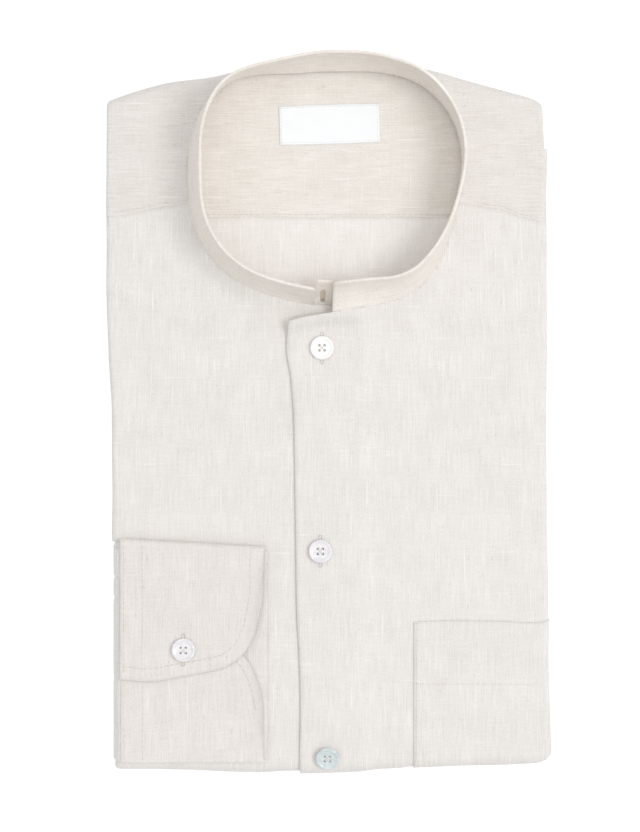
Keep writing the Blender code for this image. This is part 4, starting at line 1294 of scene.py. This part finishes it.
def thread_finish(name, light, shade):
    material, shader, tree = shader_of(name, Sheen_Weight=0.2, Specular_IOR_Level=0.3)
    place = add(tree, "ShaderNodeTexCoord").outputs["Object"]
    grain = add(tree, "ShaderNodeTexNoise", place, None, 2600.0, 2.0, 0.6).outputs[0]
    feed(tree, shader, Roughness=rescale(tree, grain, 0.3, 0.7, 0.6, 0.8),
         Base_Color=blend(tree, rescale(tree, grain, 0.3, 0.7), tone(*shade), tone(*light)))
    return material


def pearl_finish(row):
    material, shader, tree = shader_of(row.name, Coat_Weight=0.6, Coat_Roughness=0.08,
                                       Specular_IOR_Level=0.5)
    place = feed(tree, add(tree, "ShaderNodeMapping", add(tree, "ShaderNodeTexCoord").outputs["Object"]),
                 Rotation=(0.0, 0.0, row.turn), Scale=(1.0, 2.6, 1.0)).outputs[0]
    cloud = add(tree, "ShaderNodeTexNoise", place, None, 210.0, 3.0, 0.55).outputs[0]
    vein = add(tree, "ShaderNodeTexWave", place, 95.0, 9.0, 2.0, 1.4).outputs[1]
    share = total(tree, rescale(tree, cloud, 0.35, 0.65, 0.0, 0.75), times(tree, vein, 0.25))
    feed(tree, shader, Base_Color=blend(tree, share, tone(*row.cool), tone(*row.warm)),
         Roughness=rescale(tree, cloud, 0.3, 0.7, 0.22, 0.34))
    return material


label_tape = label_finish()
thread = thread_finish("thread_pale", (250, 248, 246), (226, 220, 215))
thread_shade = thread_finish("thread_seam", (238, 233, 229), (208, 201, 194))
pearls = [pearl_finish(row) for row in PEARLS]
print("small finishes:", label_tape.name, thread.name, [material.name for material in pearls])

# %% [markdown]
# ## Stitches
# A row of stitches is one small thread bump repeated along a line, which is what Geometry Nodes do
# well. The tree turns the drawn edges into a curve, puts points on it at an even spacing, sets a
# rounded grain on each, turned along the line, and realizes them as a plain mesh.

# %% Stitch tree
def stitch_tree():
    tree, take, end = group(
        "stitch row", "GeometryNodeTree",
        [("Geometry", "Geometry"), ("Spacing", "Float"), ("Length", "Float"), ("Thickness", "Float"),
         ("Material", "Material")], [("Geometry", "Geometry")])
    line = add(tree, "GeometryNodeMeshToCurve", take["Geometry"]).outputs[0]
    points = add(tree, "GeometryNodeCurveToPoints", line, None, take["Spacing"], mode="LENGTH").outputs
    half_thick, half_long = (times(tree, take[name], 0.5) for name in ("Thickness", "Length"))
    size = add(tree, "ShaderNodeCombineXYZ", half_thick, half_thick, half_long).outputs[0]
    grain = add(tree, "GeometryNodeMeshUVSphere", 6, 5, 1.0).outputs[0]
    placed = feed(tree, add(tree, "GeometryNodeInstanceOnPoints"), Points=points["Points"],
                  Instance=grain, Rotation=points["Rotation"], Scale=size).outputs[0]
    real = add(tree, "GeometryNodeRealizeInstances", placed).outputs[0]
    smooth = add(tree, "GeometryNodeSetShadeSmooth", real).outputs[0]
    coated = feed(tree, add(tree, "GeometryNodeSetMaterial"), Geometry=smooth, Material=take["Material"])
    feed(tree, end, Geometry=coated.outputs[0])
    return tree


STITCHES = stitch_tree()


def stitch_rows(name, lines, spacing, length, thickness, material):
    """Plain mesh of stitches along lines of points in millimetres."""
    points, edges = [], []
    for line in lines:
        first = len(points)
        points += ((np.asarray(line) + SHIFT) * MM).tolist()
        edges += [(k, k + 1) for k in range(first, len(points) - 1)]
    mesh = bpy.data.meshes.new(name)
    mesh.from_pydata(points, edges, [])
    thing = new_object(name, mesh)
    row = thing.modifiers.new("stitches", "NODES")
    row.node_group = STITCHES
    sizes = {"Spacing": spacing * MM, "Length": length * MM, "Thickness": thickness * MM,
             "Material": material}
    for socket in STITCHES.interface.items_tree:
        if socket.in_out == "INPUT" and socket.name in sizes:
            row[socket.identifier] = sizes[socket.name]
    return as_plain_mesh(thing)


print("stitch tree:", len(STITCHES.nodes), "nodes")

# %% [markdown]
# ## Where the shirt is stitched
# Collar and cuff are topstitched a few millimetres inside their edges, the pocket along its side
# and its hem, the yokes along their seams, the label round its border and the tails along their
# hem. Each line is read from the surface it is sewn on.

# %% Stitch lines
STITCH_SPACING, STITCH_LENGTH, STITCH_THICK = 2.7, 2.1, 0.38
STITCH_LIFT = 0.1          # a stitch's middle above the cloth's face
RIM_STITCH, FOOT_STITCH = 0.93, 0.1                # share of the collar's height
FLAP_INSET, LAP_INSET = 6.2, 4.0
LABEL_INSET, LABEL_STITCH = 0.9, 0.82


def on_top(x, y, lift):
    x, y = same_shape(x, y)
    return xyz(x, y, top_height(x, y) + lift)


def straight(start, end, count, lift):
    """A straight line over the pile's top."""
    return on_top(*(np.linspace(a, b, count) for a, b in zip(start, end)), lift)


def inset(x, y, distance):
    """The same line moved sideways, to the left of its direction."""
    run_x, run_y = np.gradient(x), np.gradient(y)
    size = np.hypot(run_x, run_y)
    return x - run_y / size * distance, y + run_x / size * distance


def collar_lines():
    turn = np.linspace(-84, 255, 300)
    return [collar_points(turn, np.full(300, share), offset) for share in (RIM_STITCH, FOOT_STITCH)
            for offset in (0.12, -COLLAR_CLOTH - 0.12)]


def cuff_outline(end, height, distance):
    """Line inside a rounded end of the cuff and on along its hem."""
    x = np.linspace(CUFF_SEAM, CUFF_TOP_HEM, 80)
    y = read(end, x)
    if height == CUFF_FLAP:
        hem = np.linspace(y[-1], float(read(CUFF_TOP, CUFF_TOP_HEM)) - 4.0, 20)[1:]
        x, y = inset(np.append(x, np.full(19, CUFF_TOP_HEM)), np.append(y, hem), distance)
    else:
        x, y = inset(x, y, -distance)
    keep = x > CUFF_SEAM + 1.0
    return on_top(x[keep], y[keep], height + CUFF_CLOTH / 2 + STITCH_LIFT)


def cuff_lines():
    lines = [cuff_outline(FLAP_END, CUFF_FLAP, FLAP_INSET), cuff_outline(LAP_END, CUFF_LAP, LAP_INSET)]
    spans = (-129.0, -68.0, 40, CUFF_FLAP), (-173.0, -137.0, 20, CUFF_LAP)
    for x in (-93.0, CUFF_SEAM + 1.6):
        for low_y, high_y, count, height in spans:
            lines.append(straight((x, low_y), (x, high_y), count, height + CUFF_CLOTH / 2 + STITCH_LIFT))
    return lines


def pocket_lines():
    return [straight((POCKET_EDGE + 2.0, -136.5), (105.0, -136.5), 60, 1.25),
            straight((POCKET_EDGE + 1.5, POCKET_TOP - 1.5), (POCKET_EDGE + 1.5, -174.0), 60, 1.25)]


def yoke_lines():
    lines = []
    for x_from, x_to in ((-106.0, -71.0), (70.0, 104.0)):
        x = np.linspace(x_from, x_to, 40)
        lines.append(on_top(x, read(FRONT_SEAM, x) + 1.8, STITCH_LIFT))
    y = YOKE_SEAM + 1.9
    return lines + [straight((-63.0, y), (68.0, y), 120, STITCH_LIFT - LAYER)]


def label_lines():
    half_w, half_h = LABEL_WIDTH / 2 - LABEL_INSET, LABEL_HEIGHT / 2 - LABEL_INSET
    width, height = np.linspace(-half_w, half_w, 50), np.linspace(-half_h, half_h, 30)
    sides = (width, -half_h), (width, half_h), (-half_w, height), (half_w, height)
    return [label_points(*same_shape(a, b), LABEL_STITCH) for a, b in sides]


def tail_lines():
    """Hem of the turned-up tails, on the underside."""
    x = np.linspace(UNDER_LEFT + 6.0, UNDER_RIGHT - 6.0, 140)
    y = np.full(140, TAIL_EDGE - 6.0)
    return [xyz(x, y, floor_relief(x, y) + placket_trough(x, y) + 0.05)]


BODY_STITCH, LABEL_SIZES = (STITCH_SPACING, STITCH_LENGTH), (1.6, 1.2)
SEWN = [("stitching_collar", collar_lines(), *BODY_STITCH, STITCH_THICK, thread, "collar_band"),
        ("stitching_cuff", cuff_lines(), *BODY_STITCH, STITCH_THICK, thread_shade, "cuff"),
        ("stitching_pocket", pocket_lines(), *BODY_STITCH, 0.34, thread, "pocket"),
        ("stitching_yokes", yoke_lines(), *BODY_STITCH, STITCH_THICK, thread_shade, "yoke_outer"),
        ("stitching_label", label_lines(), *LABEL_SIZES, 0.3, thread, "neck_label"),
        ("stitching_tails", tail_lines(), *BODY_STITCH, 0.3, thread_shade, "front_left")]
stitched = {row[-1]: stitch_rows(*row[:-1]) for row in SEWN}
print("stitching:", {node: len(thing.data.polygons) for node, thing in stitched.items()})

# %% [markdown]
# ## Buttonholes and button thread
# Each buttonhole is a slit with a close bead of thread down both sides. It runs up and down, and
# its ends peep out above and below the button. The button's thread crosses between its four holes.

# %% Buttonholes and crosses
HOLE_HALF, HOLE_ROUND, BEAD_AT = 7.4, 0.6, 0.75
CROSS_HEIGHT, CROSS_STEP, CROSS_DROP = 1.62, 0.28, 0.55


def buttonhole_lines():
    along = np.linspace(-HOLE_HALF, HOLE_HALF, 30)
    turn = np.linspace(0.0, math.pi, 8)
    lines = []
    for row in BUTTONS[:2] + BUTTONS[-1:]:
        lift = (CUFF_FACE if row.on == "cuff" else LAYER) + STITCH_LIFT
        for side in (-BEAD_AT, BEAD_AT):
            lines.append(on_top(row.across + side, row.along + along, lift))
        for end in (-1, 1):
            round_y = row.along + end * (HOLE_HALF + HOLE_ROUND * np.sin(turn))
            lines.append(on_top(row.across + BEAD_AT * np.cos(turn), round_y, lift))
    return lines


def cross_lines(row):
    """Two crossing threads over a button's face, a little arched."""
    place = button_place(row)
    lines = []
    for side, height in ((1, CROSS_HEIGHT), (-1, CROSS_HEIGHT + CROSS_STEP)):
        lines.append([np.array(place @ Vector((s * HOLE_AT, s * side * HOLE_AT,
                                               height - CROSS_DROP * abs(s) ** 6))) - SHIFT
                      for s in np.linspace(-1.0, 1.0, 12)])
    return lines


buttonholes = stitch_rows("stitching_buttonholes", buttonhole_lines(), 0.42, 0.55, 0.62, thread_shade)
crosses = {row.node: stitch_rows("thread_" + row.node, cross_lines(row), 0.16, 0.5, 0.5, thread)
           for row in BUTTONS}
print("buttonholes:", len(buttonholes.data.polygons), "faces; crosses:", len(crosses))

# %% [markdown]
# ## Hand every piece to the frame
# Each piece rides on the one body, stands for its plain solid and takes its finish. Every sheet also
# says how big it was cut.

# %% Materials and frame
Piece = namedtuple("Piece", "thing node finish flat slot held rests",
                   defaults=("linen", "folded", "folded_layers"))
PIECES = table(
    Piece,
    (front_left, "front_left", "linen_front_left", (0.150, 0.60)),
    (front_right, "front_right", "linen_front_right", (0.142, 0.60)),
    (yoke_outer, "yoke_outer", "linen_yoke", (0.238, 0.088)),
    (yoke_inner, "yoke_inner", "linen_yoke_inside", (0.196, 0.071), "linen", "laid"),
    (back_panel, "back_panel", "linen_back_inside", (0.188, 0.262), "linen", "laid"),
    (collar, "collar_band", "linen_collar", (0.39, 0.031), "linen", "folded", "yoke_outer"),
    (pocket, "pocket", "linen_pocket", (0.08, 0.137), "linen", "folded", "front_left"),
    (cuff, "cuff", "linen_cuff", (0.225, 0.073), "linen", "folded", "front_right"),
    (sleeve, "sleeve", "linen_front_right", (0.22, 0.024)),
    (bundle, "folded_layers", "linen_hidden", (0.22, 0.34), "linen_inside", "folded", "front_left"),
    (label, "neck_label", "label_tape", (0.05, 0.0192), "label", "laid", "yoke_inner"))
# button_1 takes the pearl painted lighter as painted light, button_3 the one painted darker as painted
# shade
PEARL_OF = {"button_1": 0, "button_3": 2}          # the other buttons are grey
finishes = {**linens, "label_tape": label_tape}


def half_surface(thing):
    """Area of one side of a thin wall, in square metres."""
    return sum(face.area for face in thing.data.polygons) / 2


def hand_over(thing, finish=None, node=None):
    if finish:
        thing.data.materials.clear()
        thing.data.materials.append(finish)
    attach(thing, "root")
    if node:
        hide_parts(node)


for row in PIECES:
    hand_over(row.thing, finishes[row.finish], row.node)
    print(row.node, "half surface", round(half_surface(row.thing), 4), "m2, flat",
          round(row.flat[0] * row.flat[1], 4), "m2")
# the lining behind the slit takes the browner finish painted as shade
hand_over(tongue_lining_painted_shade, linens["linen_slot"])
for thing in (*stitched.values(), buttonholes, *crosses.values()):
    hand_over(thing)
for node, thing in buttons.items():
    hand_over(thing, pearls[PEARL_OF.get(node, 1)], node)

# %% [markdown]
# ## Floor, light and camera
# The shirt lies on a plain white table under a broad soft lamp high on the right, with white walls
# all round, so that shade is gentle and every fold still reads. The camera hangs straight above.

# %% Stage
FLOOR_HALF, FLOOR_DROP, FLOOR_GREY, FLOOR_GLOW = 3.0, -0.0004, (0.2, 0.2, 0.2, 1.0), 0.9
CAMERA_HEIGHT = 1400.0     # millimetres above the pile
FRAME_LENGTH = 416.0       # what the long side of the picture takes in, at the pile's top
SENSOR = 36.0
CAMERA_OVER = (-4.5, -2.5)
SKY_TONE, SKY_LOW, SKY_HIGH = (1.0, 0.992, 0.982, 1.0), 0.42, 1.03     # at the horizon and overhead
LAMP_AWAY, LAMP_SIZE, LAMP_POWER, LAMP_TONE = 3.0, 1.4, 24.7, (1.0, 0.995, 0.985)  # metres, watts
LAMP_HEIGHT = math.radians(58.0)


def make_floor():
    mesh = bpy.data.meshes.new("floor")
    corners = [(side * FLOOR_HALF, end * FLOOR_HALF, FLOOR_DROP)
               for side, end in ((-1, -1), (1, -1), (1, 1), (-1, 1))]
    mesh.from_pydata(corners, [], [(0, 1, 2, 3)])
    material = shader_of("white_table", Roughness=0.9, Specular_IOR_Level=0.0, Base_Color=FLOOR_GREY,
                         Emission_Color=(1.0, 1.0, 1.0, 1.0), Emission_Strength=FLOOR_GLOW)[0]
    mesh.materials.append(material)
    new_object("floor", mesh)


def make_lights():
    world = bpy.data.worlds.new("white_room")
    bpy.context.scene.world = world
    world.use_nodes = True
    tree = world.node_tree
    upward = split(tree, add(tree, "ShaderNodeTexCoord").outputs["Generated"])[2]
    feed(tree, tree.nodes["Background"], Color=SKY_TONE,
         Strength=rescale(tree, upward, 0.0, 1.0, SKY_LOW, SKY_HIGH))
    lamp = bpy.data.lights.new("soft_lamp", "AREA")
    lamp.shape = "DISK"
    lamp.size = LAMP_SIZE
    lamp.energy = LAMP_POWER
    lamp.color = LAMP_TONE
    place = new_object("soft_lamp", lamp)
    place.location = Vector((math.cos(LAMP_HEIGHT), 0.0, math.sin(LAMP_HEIGHT))) * LAMP_AWAY
    place.rotation_euler = (-Vector(place.location)).to_track_quat("-Z", "Y").to_euler()


def make_camera():
    data = bpy.data.cameras.new("camera")
    data.sensor_width = SENSOR
    data.lens = SENSOR * CAMERA_HEIGHT / FRAME_LENGTH
    data.clip_end = 20.0
    camera = new_object("camera", data)
    camera.location = (Vector((*CAMERA_OVER, STACK_HEIGHT + CAMERA_HEIGHT)) + Vector(SHIFT)) * MM
    bpy.context.scene.camera = camera


make_floor()
make_lights()
make_camera()
bpy.context.scene.view_settings.view_transform = "Standard"
print("camera", round(CAMERA_HEIGHT * MM, 2), "m above the pile")
